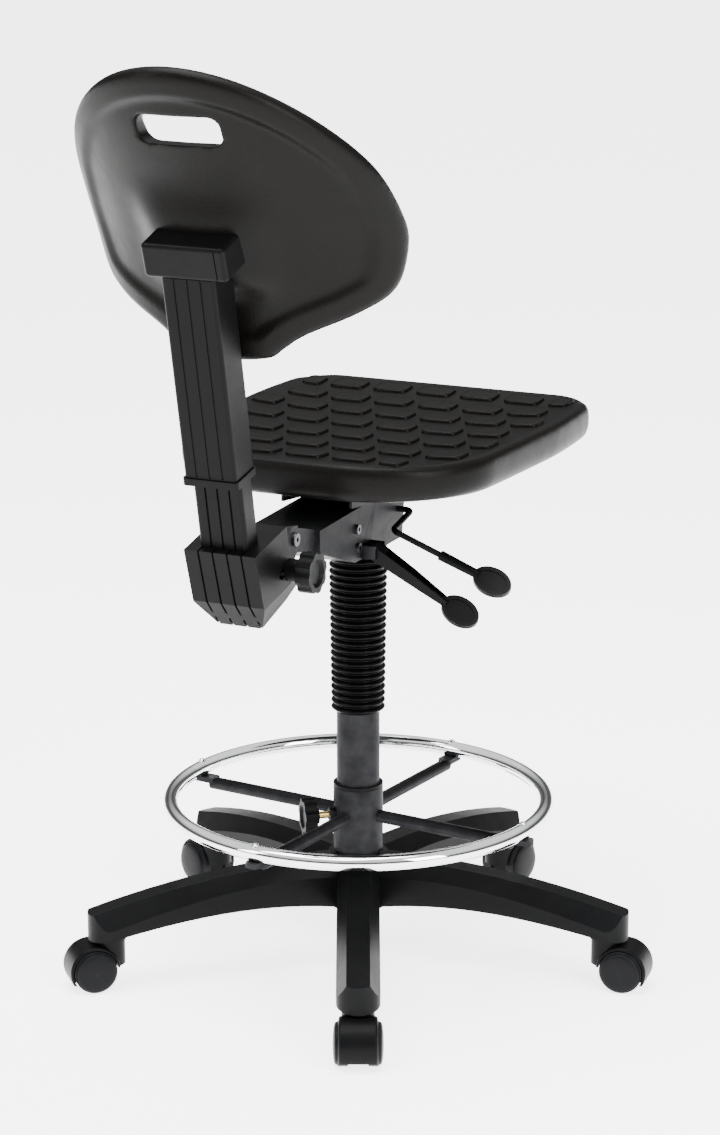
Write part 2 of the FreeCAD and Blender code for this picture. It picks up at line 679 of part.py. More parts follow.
def make_ring():
    """Hollow chromed ring with a screw hole over each spoke."""
    outside = torus("ring_outside", S.ring_radius, S.ring_tube_radius, z=S.ring_height)
    inside = torus("ring_inside", S.ring_radius, S.ring_tube_radius - S.ring_wall, z=S.ring_height)
    holes = []
    for index, direction in enumerate(spoke_directions(), start=1):
        hole = cylinder("ring_hole_%d" % index, S.ring_screw_radius, S.ring_tube_radius * 4)
        foot = float(S.ring_height) - 2 * float(S.ring_tube_radius)
        hole.Placement.Base = direction * float(S.ring_radius) + Vector(0, 0, foot)
        holes.append(hole)
    hollow = cut("ring_hollow", outside, inside)
    keep(cut("ring_drilled", hollow, fuse("ring_holes", holes)), "ring_tube")


def make_spokes():
    """Four tube spokes, each with a flattened end that carries the ring."""
    top = float(S.ring_height) - float(S.ring_tube_radius)
    axis_z = top - float(S.spoke_radius)
    reach, hub_radius = float(S.ring_radius), float(ring_hub_radius())
    end_start = reach + 12 - float(S.spoke_end_length)
    spokes = []
    for direction in spoke_directions():
        level = Vector(0, 0, axis_z)
        tube = rod(float(S.spoke_radius), level + direction * (hub_radius - 1),
                   level + direction * (end_start + 8))
        tube = tube.cut(Part.makeCylinder(hub_radius, 60, Vector(0, 0, axis_z - 30)))
        half = float(S.spoke_radius) + 1
        height = float(S.spoke_end_height)
        flat = slab((end_start, -half, top - height), (reach + 12, half, top))
        flat = rounded(flat, 6.0, lambda edge: runs_along(edge, Z_AXIS))
        flat.rotate(ORIGIN, Z_AXIS, math.degrees(math.atan2(direction.y, direction.x)))
        spoke = tube.fuse(flat)
        spoke = spoke.cut(Part.makeCylinder(float(S.ring_screw_radius), 60,
                                            direction * reach + Vector(0, 0, axis_z - 20)))
        spokes.append(spoke.removeSplitter())
    free_form("ring_spokes", Part.makeCompound(spokes))


def make_ring_screws():
    top = float(S.ring_height) + float(S.ring_tube_radius)
    foot = float(S.ring_height) - float(S.ring_tube_radius) - float(S.spoke_end_height)
    screws = []
    for direction in spoke_directions():
        place = direction * float(S.ring_radius)
        shank = Part.makeCylinder(float(S.ring_screw_radius), top - foot, place + Vector(0, 0, foot))
        head_radius = float(S.ring_screw_head)
        head = Part.makeSphere(head_radius, place + Vector(0, 0, top - 2.2))
        head = head.common(Part.makeCylinder(head_radius, head_radius, place + Vector(0, 0, top)))
        screws.append(shank.fuse(head))
    free_form("ring_screws", Part.makeCompound(screws))


def make_clamp_knob():
    """Knob and its brass screw, on an axis midway between two spokes."""
    inner = float(ring_hub_radius()) + float(S.clamp_knob_gap)
    turn = Rotation(Z_AXIS, float(S.ring_yaw) + 45).multiply(Rotation(Y_AXIS, 90))
    place = Placement(Vector(0, 0, float(S.clamp_height)), turn)
    screw = float(S.clamp_screw_radius)
    tip = Vector(0, 0, float(ring_hub_bore()) + float(S.clearance))
    free_form("clamp_screw", rod(screw, tip, Vector(0, 0, inner + 8)), place)
    knob = knob_shape(float(S.clamp_knob_radius), float(S.clamp_knob_thickness), 7, 3.0)
    knob.translate(Vector(0, 0, inner))
    knob = knob.fuse(Part.makeCylinder(9.5, 4, Vector(0, 0, inner - 4)))
    knob = knob.cut(Part.makeCylinder(screw, 12, Vector(0, 0, inner - 4)))
    free_form("clamp_knob", knob.removeSplitter(), place)


# ---------------------------------------------------------------- mechanism

def make_housing():
    """Folded box on the gas spring, with two tongues at the rear for the back's tilt bolt."""
    half, wall = float(S.housing_half_width), float(S.housing_wall)
    front, rear = float(S.housing_front), float(S.housing_rear)
    bottom, top, rear_top = float(S.housing_bottom), float(S.housing_top), float(S.housing_rear_top)
    rear_low = rear_top - 26
    nose = top - 24
    profile = [(front, nose), (-40, nose - 6), (-34, bottom), (96, bottom), (rear, rear_low),
               (rear, rear_top), (40, rear_top + 4), (-50, top), (front, top)]
    inner = [(front - 5, nose + wall), (-40 + wall, nose - 6 + wall), (-34 + wall, bottom + wall),
             (96 - wall, bottom + wall), (rear - wall, rear_low + wall), (rear - wall, rear_top - wall),
             (40, rear_top + 4 - wall), (-50, top - wall), (front - 5, top - wall)]
    shell = side_prism(profile, half).cut(side_prism(inner, half - wall))
    pivot = Vector(0, float(S.back_pivot_y), float(S.back_pivot_z))
    tongue_half, tongue_radius = float(S.tongue_half_width), 14.0
    tongue = side_prism([(rear - wall, rear_low), (pivot.y, pivot.z - tongue_radius),
                         (pivot.y, pivot.z + tongue_radius - 1), (rear - wall, rear_top)], tongue_half)
    tongue = tongue.fuse(rod(tongue_radius, pivot - X_AXIS * tongue_half, pivot + X_AXIS * tongue_half))
    inside = tongue_half - wall
    tongue = tongue.cut(slab((-inside, rear, bottom - 20), (inside, pivot.y + 40, top + 20)))
    shell = shell.fuse(tongue)
    drillings = ((pivot, float(S.back_bolt_radius)),
                 (Vector(0, float(S.seat_pivot_y), float(S.seat_pivot_z)), float(S.seat_pin_radius)),
                 (Vector(-half, float(S.lock_hinge_y), float(S.lock_hinge_z)), float(S.lock_rod_radius)))
    for axis, radius in drillings:
        end = 80 if axis.x == 0 else 20
        drill = rod(radius + float(S.running), Vector(-80, axis.y, axis.z), Vector(end, axis.y, axis.z))
        shell = shell.cut(drill)
    mouth = Part.makeCylinder(float(S.cylinder_radius) + 6, 30, Vector(0, 0, bottom))
    shell = shell.fuse(mouth).fuse(lever_bracket())
    shell = shell.cut(Part.makeCylinder(float(S.cylinder_radius), 40, Vector(0, 0, bottom)))
    free_form("mechanism_housing", shell.removeSplitter())


def lever_bracket():
    """Cheeks and pin on the housing's side that carry the lift lever."""
    root = float(S.lever_root_half_width)
    face = -float(S.housing_half_width) + 1
    level, along, outer = float(S.lever_z), float(S.lever_y), float(S.lever_pivot_x)
    near, far = root + float(S.clearance), root + float(S.clearance) + 3
    foot = max(level - 7, float(S.housing_bottom))
    cheeks = [slab((outer - 6, along + low, foot), (face, along + high, level + 8))
              for low, high in ((-far, -near), (near, far))]
    pin_radius = float(S.lever_pin_radius) - float(S.running)
    pin = rod(pin_radius, Vector(outer, along - far, level), Vector(outer, along + far, level))
    return cheeks[0].fuse([cheeks[1], pin])


def make_housing_bolts():
    """Bolt heads in both sides of the housing."""
    half = float(S.housing_half_width)
    heads = []
    for side in (-1, 1):
        for across, up in ((91.0, 524.0), (93.0, 546.0)):
            face = Vector(side * half, across, up)
            head = rod(float(S.housing_bolt_radius), face, face + X_AXIS * side * 4.0)
            socket = rod(2.4, face + X_AXIS * side * 1.8, face + X_AXIS * side * 4.0)
            heads.append(head.cut(socket))
    free_form("housing_bolts", Part.makeCompound(heads))


# ---------------------------------------------------------------- seat

def make_seat_plate():
    """Steel plate under the seat, with a flange down each side of the housing."""
    top = float(S.seat_underside)
    gauge = float(S.plate_thickness)
    front, rear = float(S.plate_front), float(S.plate_rear)
    wide = float(S.plate_half_width)
    plate = rounded(slab((-wide, front, top - gauge), (wide, rear, top)), 12.0,
                    lambda edge: runs_along(edge, Z_AXIS))
    inner = float(S.housing_half_width) + float(S.clearance)
    low = float(S.seat_pivot_z) - 12
    flange_profile = [(front, top - 1), (front, low), (front + 50, low), (rear, top - 22), (rear, top - 1)]
    for side in (-1, 1):
        flange = side_prism(flange_profile, gauge / 2)
        flange.translate(X_AXIS * side * (inner + gauge / 2))
        plate = plate.fuse(flange)
    pin_axis = Vector(0, float(S.seat_pivot_y), float(S.seat_pivot_z))
    pin = float(S.seat_pin_radius)
    plate = plate.cut(rod(pin, pin_axis - X_AXIS * 80, pin_axis + X_AXIS * 80))
    for across, along in seat_screw_places():
        foot = Vector(across, along, top - 10)
        plate = plate.cut(Part.makeCylinder(float(S.seat_screw_radius), 20, foot))
    free_form("seat_plate", plate.removeSplitter())


def make_seat_pin():
    half = S.housing_half_width + S.clearance + S.plate_thickness + 3
    pin = cylinder("seat_pin_rod", S.seat_pin_radius, half * 2)
    pin.Placement.Rotation = Rotation(Y_AXIS, 90)
    move(pin, x=-half, y=S.seat_pivot_y, z=S.seat_pivot_z)
    keep(pin, "seat_pivot_pin")


def seat_screw_places():
    across = float(S.plate_half_width) - 16
    return [(side * across, along) for side in (-1, 1)
            for along in (float(S.plate_front) + 20, float(S.plate_rear) - 20)]


def make_seat_screws():
    top = float(S.seat_underside)
    gauge = float(S.plate_thickness)
    screws = []
    for across, along in seat_screw_places():
        foot = Vector(across, along, top - gauge - 3)
        head = Part.makeCylinder(2 * float(S.seat_screw_radius), 3, foot)
        length = gauge + 3 + float(S.board_thickness) - 1
        shank = Part.makeCylinder(float(S.seat_screw_radius), length, foot)
        screws.append(head.fuse(shank))
    free_form("seat_screws", Part.makeCompound(screws))


def board_ends():
    """Front, rear and half width of the board."""
    return (S.plate_front + S.board_inset, S.plate_rear - S.board_inset,
            S.plate_half_width - S.board_inset)


def make_seat_board():
    front, rear, wide = board_ends()
    top = S.seat_underside + S.board_thickness
    blank = box("board_blank", (-wide, front, S.seat_underside), (wide, rear, top))
    holes = []
    for index, (across, along) in enumerate(seat_screw_places(), start=1):
        hole = cylinder("board_hole_%d" % index, S.seat_screw_radius, S.board_thickness - 1)
        hole.Placement.Base = Vector(across, along, float(S.seat_underside))
        holes.append(hole)
    keep(cut("board_drilled", blank, fuse("board_holes", holes)), "seat_board")


def make_seat_pad():
    """Self-skinned seat: a rounded trapezoid, widest towards the front."""
    front, rear = float(S.seat_front), float(S.seat_rear)
    wide, narrow = float(S.seat_front_half_width), float(S.seat_rear_half_width)
    bottom = float(S.seat_underside)
    plan = [(-narrow, rear), (-wide, front + 100), (-wide + 6, front), (wide - 6, front),
            (wide, front + 100), (narrow, rear)]
    face = polygon_face([Vector(across, along, bottom) for across, along in plan])
    pad = face.extrude(Vector(0, 0, float(S.seat_thickness)))
    for edge_y, corner in ((rear, S.seat_corner_radius), (front, S.seat_front_corner_radius)):
        pad = rounded(pad, float(corner), lambda edge: runs_along(edge, Z_AXIS)
                      and abs(edge.Vertexes[0].Y - edge_y) < 0.1)
    top = bottom + float(S.seat_thickness)
    edge_radius = float(S.seat_edge_radius)
    pad = rounded(pad, edge_radius, lambda edge: all(abs(v.Z - top) < 0.01 for v in edge.Vertexes)
                  or all(abs(v.Z - bottom) < 0.01 for v in edge.Vertexes))
    board_front, board_rear, board_wide = [float(size) for size in board_ends()]
    pocket = slab((-board_wide, board_front, bottom),
                  (board_wide, board_rear, bottom + float(S.board_thickness)))
    free_form("seat_pad", pad.cut(pocket))


# ---------------------------------------------------------------- back arm and upright

def upright_placement():
    """Frame of the upright: origin on the tilt axis, Z up the upright, Y away from the seat."""
    pivot = Vector(0, float(S.back_pivot_y), float(S.back_pivot_z))
    return Placement(pivot, Rotation(X_AXIS, -float(S.back_lean)))


def make_back_bracket():
    """Ears on the tilt bolt, joined by a block that the bar's lower leg slides through."""
    inner = float(S.tongue_half_width) + float(S.ear_gap)
    outer = inner + float(S.ear_thickness)
    leg = float(S.bar_leg_z)
    block_front, block_rear = 18.0, 39.0
    ears = side_prism([(-12, -13), (block_front, leg - 11), (block_rear, leg - 11), (block_rear, leg + 11),
                       (14, 10), (0, 15), (-12, 11)], outer)
    ears = ears.cut(slab((-inner, -60, -80), (inner, 80, 60)))
    block = slab((-inner, block_front, leg - 9), (inner, block_rear, leg + 9))
    bracket = ears.fuse(block)
    half_bar = float(S.bar_width) / 2 + float(S.clearance)
    half_gauge = float(S.bar_thickness) / 2 + float(S.clearance)
    bracket = bracket.cut(slab((-half_bar, -60, leg - half_gauge), (half_bar, 90, leg + half_gauge)))
    bolt = float(S.back_bolt_radius)
    bracket = bracket.cut(rod(bolt, Vector(-90, 0, 0), Vector(90, 0, 0)))
    knob = Vector(0, float(S.depth_knob_y), leg)
    screw = float(S.depth_screw_radius) + float(S.running)
    bracket = bracket.cut(rod(screw, knob - X_AXIS * 90, knob))
    free_form("back_bracket", bracket.removeSplitter(), upright_placement())


def make_back_bolt():
    half = float(S.tongue_half_width) + float(S.ear_gap) + float(S.ear_thickness)
    shank = rod(float(S.back_bolt_radius), Vector(-half - 1, 0, 0), Vector(half + 1, 0, 0))
    head_radius = float(S.back_bolt_head)
    bolt = shank
    for side in (-1, 1):
        face = X_AXIS * side * half
        head = rod(head_radius, face, face + X_AXIS * side * 4.5)
        head = rounded(head, 1.0, lambda edge: abs(edge.Vertexes[0].X) > half + 4)
        bolt = bolt.fuse(head)
    socket = rod(2.6, Vector(-half - 2.5, 0, 0), Vector(-half - 10, 0, 0))
    free_form("back_pivot_bolt", bolt.cut(socket), upright_placement())


def make_depth_knob():
    """Eight-sided knob on the sitter's right that clamps the bar in its bracket."""
    leg = float(S.bar_leg_z)
    collar_start = float(S.boot_half_width) + 2
    turn = Placement(Vector(0, float(S.depth_knob_y), leg), Rotation(Y_AXIS, -90))
    screw_tip = float(S.bar_width) / 2 + 2 * float(S.clearance)
    screw = rod(float(S.depth_screw_radius), Vector(0, 0, screw_tip), Vector(0, 0, collar_start + 4))
    collar_end = collar_start + float(S.depth_collar_length)
    collar = Part.makeCylinder(float(S.depth_collar_radius), float(S.depth_collar_length),
                               Vector(0, 0, collar_start))
    head = knob_shape(float(S.depth_knob_radius), float(S.depth_knob_thickness), 8, 2.2)
    head.translate(Vector(0, 0, collar_end))
    knob = screw.fuse(collar).fuse(head).removeSplitter()
    free_form("depth_knob", knob, upright_placement().multiply(turn))


def make_bar():
    """Flat bar: a leg through the bracket, a round bend, and the upright."""
    half = float(S.bar_width) / 2
    gauge = float(S.bar_thickness) / 2
    leg, upright = float(S.bar_leg_z), float(S.bar_upright_y)
    bend = float(S.bar_bend)
    corner = Vector(0, upright - bend, leg + bend)
    low = slab((-half, float(S.bar_front), leg - gauge), (half, corner.y, leg + gauge))
    high = slab((-half, upright - gauge, corner.z), (half, upright + gauge, float(S.bar_top)))
    outer = rod(bend + gauge, corner - X_AXIS * half, corner + X_AXIS * half)
    inner = rod(bend - gauge, corner - X_AXIS * half, corner + X_AXIS * half)
    quarter = slab((-half, corner.y, leg - gauge - 1), (half, upright + gauge + 1, corner.z))
    turn = outer.cut(inner).common(quarter)
    bar = low.fuse([high, turn]).removeSplitter()
    free_form("back_bar", bar, upright_placement())


def groove_places(half_width, count):
    pitch = 2 * half_width / (count + 1)
    return [-half_width + pitch * (index + 1) for index in range(count)]


def boot_profile(inset):
    """Side view of the elbow cover, from its open front round the bottom to the top."""
    top, rear = float(S.boot_top) - inset, float(S.boot_rear) - inset
    drop, chamfer = float(S.boot_drop) - inset, float(S.boot_chamfer)
    front = float(S.boot_front)
    return [(front, top), (rear, top), (rear - 7, -drop + chamfer), (rear - 28, -drop),
            (front - 4, -drop + 9), (2, -drop + 18), (2, -drop + 26), (front, leg_clear_z())]


def leg_clear_z():
    """Height where the elbow cover's side steps back to clear the bracket."""
    return float(S.bar_leg_z) - 16


def boot_block(inset):
    """The elbow cover's outer form, or its hollow when inset, cut across its lower sides."""
    half = float(S.boot_half_width) - inset
    block = side_prism(boot_profile(inset), half)
    drop, chamfer = float(S.boot_drop) - inset, float(S.boot_chamfer)
    inward = 0.46 * chamfer
    for side in (-1, 1):
        wedge = [Vector(side * (half + 1), -40, -drop - 1), Vector(side * (half - inward), -40, -drop - 1),
                 Vector(side * (half + 1), -40, -drop + chamfer)]
        block = block.cut(polygon_face(wedge).extrude(Vector(0, 200, 0)))
    return block


def make_boot():
    """Moulded elbow cover with vertical ribs down its rear face."""
    wall, depth = float(S.boot_wall), float(S.groove_depth)
    half = float(S.boot_half_width)
    block = boot_block(0)
    core = boot_block(depth)
    grooves = block.cut(core)
    strip = float(S.groove_width) / 2
    cover = block
    for across in groove_places(half, 4):
        band = slab((across - strip, float(S.sleeve_rear) - 6, -200), (across + strip, 200, 200))
        band = band.fuse(slab((across - strip, 40, -200), (across + strip, 200, -float(S.boot_drop) + 12)))
        cover = cover.cut(grooves.common(band))
    hollow = boot_block(wall)
    hollow = hollow.fuse(slab((-half + wall, 0, leg_clear_z()),
                              (half - wall, float(S.boot_front) + 1, float(S.boot_top) - wall)))
    mouth = [(-10, leg_clear_z() - 6), (float(S.boot_front) + 3, leg_clear_z() - 6),
             (float(S.boot_front) + 3, float(S.boot_top) - wall), (-10, float(S.boot_top) - wall)]
    cover = cover.cut(hollow).cut(side_prism(mouth, half - wall))
    knob_y, leg = float(S.depth_knob_y), float(S.bar_leg_z)
    slot = float(S.depth_screw_radius) + 1
    back_end = knob_y + float(S.depth_travel_in)
    cover = cover.cut(slab((-half - 1, 0, leg - slot), (0, back_end, leg + slot)))
    cover = cover.cut(rod(slot, Vector(-half - 1, back_end, leg), Vector(0, back_end, leg)))
    bar_half, gauge = float(S.bar_width) / 2, float(S.bar_thickness) / 2
    upright = float(S.bar_upright_y)
    cover = cover.cut(slab((-bar_half, upright - gauge, 0), (bar_half, upright + gauge, 60)))
    free_form("boot_cover", cover.removeSplitter(), upright_placement())


def tube_block(half, front, rear, low, high, radius):
    block = slab((-half, front, low), (half, rear, high))
    return rounded(block, radius, lambda edge: runs_along(edge, Z_AXIS))


def sleeve_half_width():
    return S.bar_width / 2 + S.sleeve_wall


def make_lower_sleeve():
    """Ribbed sleeve over the bar, standing on the elbow cover."""
    half, low, high = sleeve_half_width(), S.boot_top, S.sleeve_top
    blank = box("sleeve_blank", (-half, S.sleeve_front, low), (half, S.sleeve_rear, high))
    edges = bind(doc.addObject("Part::Fillet", "sleeve_rounded"))
    doc.recompute()
    edges.Base = blank
    edges.Edges = [(number, 4.0, 4.0) for number, edge in enumerate(blank.Shape.Edges, start=1)
                   if runs_along(edge, Z_AXIS)]
    bar_half, gauge = S.bar_width / 2, S.bar_thickness / 2
    tools = [box("sleeve_bore", (-bar_half, S.bar_upright_y - gauge, low - 1),
                 (bar_half, S.bar_upright_y + gauge, high + 1))]
    for index in range(3):
        across = half * (0.5 * (index - 1))
        tools.append(box("sleeve_groove_%d" % index,
                         (across - S.groove_width / 2, S.sleeve_rear - S.groove_depth, low - 1),
                         (across + S.groove_width / 2, S.sleeve_rear + 1, high + 1)))
    sleeve = cut("sleeve_cut", edges, fuse("sleeve_tools", tools))
    sleeve.Placement = upright_placement()
    keep(sleeve, "lower_sleeve")


def slider_blank():
    """Outer form of the upper sleeve with its flared lower rim."""
    wall, flare = float(S.slider_wall), float(S.slider_flare)
    half = float(sleeve_half_width()) + float(S.clearance) + wall
    front, rear = float(S.slider_front) - wall, float(S.slider_rear)
    low, high = float(S.slider_bottom), float(S.bar_top) + 90
    body = tube_block(half, front, rear, low, high, 4.0)
    rim = tube_block(half + flare, front, rear + flare, low, low + 8, 4.0)
    return body.fuse(rim)


def make_upper_sleeve():
    """Ribbed sleeve that slides on the lower one and carries the backrest."""
    half = float(sleeve_half_width()) + float(S.clearance)
    wall = float(S.slider_wall)
    sleeve = slider_blank()
    low = float(S.slider_bottom)
    strip, depth = float(S.groove_width) / 2, float(S.slider_wall) / 2
    rear = float(S.slider_rear)
    for across in groove_places(half + wall, 3):
        sleeve = sleeve.cut(slab((across - strip, rear - depth, low + 10), (across + strip, rear + 5, 500)))
    sleeve = sleeve.cut(slab((-half, float(S.slider_front), low - 1), (half, rear - wall, 500)))
    placed = sleeve.removeSplitter()
    placed.Placement = upright_placement()
    free_form("upper_sleeve", placed.cut(cap_cutter()))


def cap_placement():
    """Frame of the bracket block: origin at the middle of its rear face."""
    return Placement(Vector(0, float(S.cap_y), float(S.cap_z)), Rotation(X_AXIS, -float(S.cap_lean)))


def cap_cutter():
    """Everything at and above the bracket block's underside, so the sleeve stops at it."""
    low = -float(S.cap_height) / 2
    cutter = slab((-200, -200, low), (200, 100, low + 300))
    cutter.Placement = cap_placement()
    return cutter


def make_back_cap():
    """Block that joins the sleeve to the backrest, with rounded edges."""
    half, high = float(S.cap_width) / 2, float(S.cap_height) / 2
    depth = float(S.cap_depth)
    block = slab((-half, -depth, -high), (half, 0, high))
    block = rounded(block, float(S.cap_edge), lambda edge: not all(v.Y < -depth + 1 for v in edge.Vertexes))
    half_bar = float(S.bar_width) / 2 + 2
    groove = slab((-half + 10, -1.2, -high - 1), (-half + 11.4, 1, high + 1))
    block = block.cut(groove)
    block = block.cut(slab((-half_bar, -depth + 6, -high - 1), (half_bar, -8, -high + 8)))
    free_form("back_cap", block, cap_placement())


def make_back_insert():
    """Steel plate against the bracket block's front face, inside the backrest."""
    plate = bind(doc.addObject("Part::Box", "insert_plate"), Length=S.insert_half_width * 2,
                 Width=S.insert_thickness, Height=S.insert_height)
    corner = Vector(-float(S.insert_half_width), -float(S.cap_depth) - float(S.insert_thickness),
                    -float(S.insert_height) / 2)
    plate.Placement = cap_placement().multiply(Placement(corner, Rotation()))
    keep(plate, "back_insert")


# How far the backrest's rear face leans back, at shares of its height from the bottom edge.
REAR_SETBACKS = ((0.0, 0.0), (0.17, 13.0), (0.39, 40.0), (0.575, 72.0), (0.81, 113.0), (1.0, 141.0))


def rear_line(share):
    """Height and rear face at the middle of the backrest, straight on past its two edges."""
    pairs = list(zip(REAR_SETBACKS, REAR_SETBACKS[1:]))
    (low, near), (high, far) = next((pair for pair in pairs if share <= pair[1][0]), pairs[-1])
    setback = near + (far - near) * (share - low) / (high - low)
    bottom, top = float(S.back_bottom), float(S.back_top)
    return bottom + (top - bottom) * share, float(S.back_foot_y) + setback


def back_section(share):
    """Plan section of the curved backrest at a share of its height, as a closed wire."""
    radius = float(S.back_wrap_radius)
    height, rear = rear_line(share)
    edge_angle = math.asin(min(0.96, (float(S.back_half_width) + 14) / radius))

    def on_arc(arc_radius, centre_y, angle):
        return Vector(arc_radius * math.sin(angle), centre_y + arc_radius * math.cos(angle), height)

    outer_centre = rear - radius
    outer = [on_arc(radius, outer_centre, angle) for angle in (-edge_angle, 0, edge_angle)]
    middle_inner = Vector(0, rear - float(S.back_thickness), height)
    edge = float(S.back_edge_thickness)
    inner = [on_arc(radius - edge, outer_centre, angle) for angle in (edge_angle, -edge_angle)]
    return Part.Wire([
        Part.Arc(outer[0], outer[1], outer[2]).toShape(),
        Part.LineSegment(outer[2], inner[0]).toShape(),
        Part.Arc(inner[0], middle_inner, inner[1]).toShape(),
        Part.LineSegment(inner[1], outer[0]).toShape()])


def back_outline():
    """Front view of the backrest: a broad oval that narrows to a tongue."""
    top, bottom = float(S.back_top), float(S.back_bottom)
    wide, waist = float(S.back_half_width), float(S.back_wide_z)
    foot = float(S.back_foot_half_width)
    crown = top - waist
    side = [Vector(wide * math.sin(turn), 0, waist + crown * math.cos(turn))
            for turn in [math.radians(angle) for angle in (22.5, 45, 67.5, 90)]]
    flank = [Vector(wide * 0.972, 0, waist - 40), Vector(wide * 0.88, 0, waist - 72),
             Vector(wide * 0.70, 0, bottom + 56), Vector(wide * 0.46, 0, bottom + 32),
             Vector(foot * 1.34, 0, bottom + 14), Vector(foot, 0, bottom + 4)]
    right = side + flank
    left = [Vector(-point.x, 0, point.z) for point in reversed(right)]
    curve = Part.BSplineCurve()
    curve.interpolate([Vector(0, 0, top)] + right + [Vector(0, 0, bottom)] + left, PeriodicFlag=True)
    return Part.Wire(curve.toShape())


def make_backrest():
    """Curved, self-skinned backrest with a handle slot, and the steel plate let into it."""
    shares = [-0.04] + [share for share, _ in REAR_SETBACKS] + [1.04]
    shell = Part.makeLoft([back_section(share) for share in shares], True, False)
    outline = Part.Face(back_outline())
    column = outline.extrude(Vector(0, 700, 0))
    pad = shell.common(column)
    half, tall = float(S.slot_width) / 2, float(S.slot_height) / 2
    level = float(S.slot_z)
    slot = slab((-half, 0, level - tall), (half, 700, level + tall))
    slot = rounded(slot, float(S.slot_corner), lambda edge: runs_along(edge, Y_AXIS))
    pad = pad.cut(slot)
    half, tall, face = float(S.insert_half_width), float(S.insert_height) / 2, -float(S.cap_depth)
    pocket = slab((-half, face - float(S.insert_thickness), -tall), (half, face, tall))
    block_half, block_high = float(S.cap_width) / 2, float(S.cap_height) / 2
    pocket = pocket.fuse(slab((-block_half, face, -block_high), (block_half, 60, block_high)))
    pocket.Placement = cap_placement()
    free_form("back_pad", pad.cut(pocket))


# ---------------------------------------------------------------- levers

def lever_turn(droop):
    """Turns a lever drawn along +X to point out over the sitter's right side and down."""
    return Rotation(Y_AXIS, -float(droop)).multiply(Rotation(Z_AXIS, 180))


def oval(centre_x, length, width, low, high):
    """Upright elliptical disc between two heights."""
    disc = Part.makeCylinder(1.0, high - low)
    stretch = FreeCAD.Matrix()
    stretch.scale(length, width, 1.0)
    disc = disc.transformGeometry(stretch)
    disc.translate(Vector(centre_x, 0, low))
    return disc


def paddle_shape(centre_x):
    """Oval thumb paddle with a shallow dish on top."""
    length, width = float(S.paddle_length) / 2, float(S.paddle_width) / 2
    thick = float(S.paddle_thickness)
    paddle = oval(centre_x, length, width, -thick / 2, thick / 2)
    paddle = paddle.cut(oval(centre_x, length - 5, width - 5, thick / 2 - 1.2, thick))
    paddle.rotate(ORIGIN, X_AXIS, float(S.paddle_roll))
    return paddle


def make_lift_lever():
    """Moulded lever: hinge barrel, tapering flanged arm and oval paddle."""
    length = float(S.lever_length)
    root = float(S.lever_root_half_width)
    neck = length - float(S.paddle_length) / 2 + 6
    stations = ((0, root, 15.0), (neck * 0.5, root * 0.8, 12.0), (neck, root * 0.55, 7.0))
    wires = []
    for along, half, thick in stations:
        ring = [(-half, 0), (half, 0), (half, thick), (-half, thick)]
        wires.append(Part.makePolygon([Vector(along, a, b) for a, b in ring + ring[:1]]))
    arm = Part.makeLoft(wires, True, True)
    trough = polygon_face([Vector(12, -root + 3, 5), Vector(neck - 8, -root * 0.55 + 3, 5),
                           Vector(neck - 8, root * 0.55 - 3, 5), Vector(12, root - 3, 5)])
    arm = arm.cut(trough.extrude(Vector(0, 0, 20)))
    barrel = rod(7.5, Vector(0, -root, 7.5), Vector(0, root, 7.5))
    paddle = paddle_shape(length)
    paddle.translate(Vector(0, 0, float(S.paddle_thickness) / 2))
    lever = arm.fuse([barrel, paddle])
    lever = lever.cut(rod(float(S.lever_pin_radius), Vector(0, -root - 1, 7.5), Vector(0, root + 1, 7.5)))
    pivot = Vector(float(S.lever_pivot_x), float(S.lever_y), float(S.lever_z))
    drop = Placement(Vector(0, 0, -7.5), Rotation())
    place = Placement(pivot, lever_turn(S.lever_droop)).multiply(drop)
    free_form("lift_lever", lever.removeSplitter(), place)


def make_tilt_lock():
    """Bent wire lever, hinged in the housing's side, with a moulded grip and paddle."""
    radius = float(S.lock_rod_radius)
    hinge = Vector(0, float(S.lock_hinge_y), float(S.lock_hinge_z))
    inner_end = hinge + X_AXIS * (-float(S.housing_half_width) + float(S.housing_wall) + 2)
    first_bend = Vector(float(S.lock_elbow_x) + 2, hinge.y, hinge.z)
    elbow = Vector(float(S.lock_elbow_x), float(S.lock_elbow_y), float(S.lock_elbow_z))
    direction = lever_turn(S.lock_droop).multVec(X_AXIS)
    end = elbow + direction * (float(S.lock_length) - float(S.paddle_length) / 2 - 4)
    path = bent_path([inner_end, first_bend, elbow, end], radius * 2.2)
    free_form("tilt_lock_rod", pipe(path, radius))
    grip_start = float(S.lock_length) - float(S.paddle_length) / 2 - float(S.lock_grip_length)
    grip = Part.makeCone(radius + 2.4, radius + 1.6, float(S.lock_grip_length) + 6,
                         Vector(grip_start, 0, 0), X_AXIS)
    handle = grip.fuse(paddle_shape(float(S.lock_length)))
    hole_end = float(S.lock_length) - float(S.paddle_length) / 2 - 4
    handle = handle.cut(rod(radius, Vector(grip_start - 1, 0, 0), Vector(hole_end, 0, 0)))
    free_form("tilt_lock_handle", handle.removeSplitter(), Placement(elbow, lever_turn(S.lock_droop)))


# ---------------------------------------------------------------- build, check and write

def build():
    make_star_base()
    make_casters()
    make_column()
    make_piston()
    make_pressure_tube()
    make_bellows()
    make_ring_hub()
    make_ring()
    make_spokes()
    make_ring_screws()
    make_clamp_knob()
    make_housing()
    make_housing_bolts()
    make_seat_plate()
    make_seat_pin()
    make_seat_screws()
    make_seat_board()
    make_seat_pad()
    make_back_bracket()
    make_back_bolt()
    make_depth_knob()
    make_bar()
    make_boot()
    make_lower_sleeve()
    make_upper_sleeve()
    make_back_cap()
    make_back_insert()
    make_backrest()
    make_lift_lever()
    make_tilt_lock()
    doc.recompute()


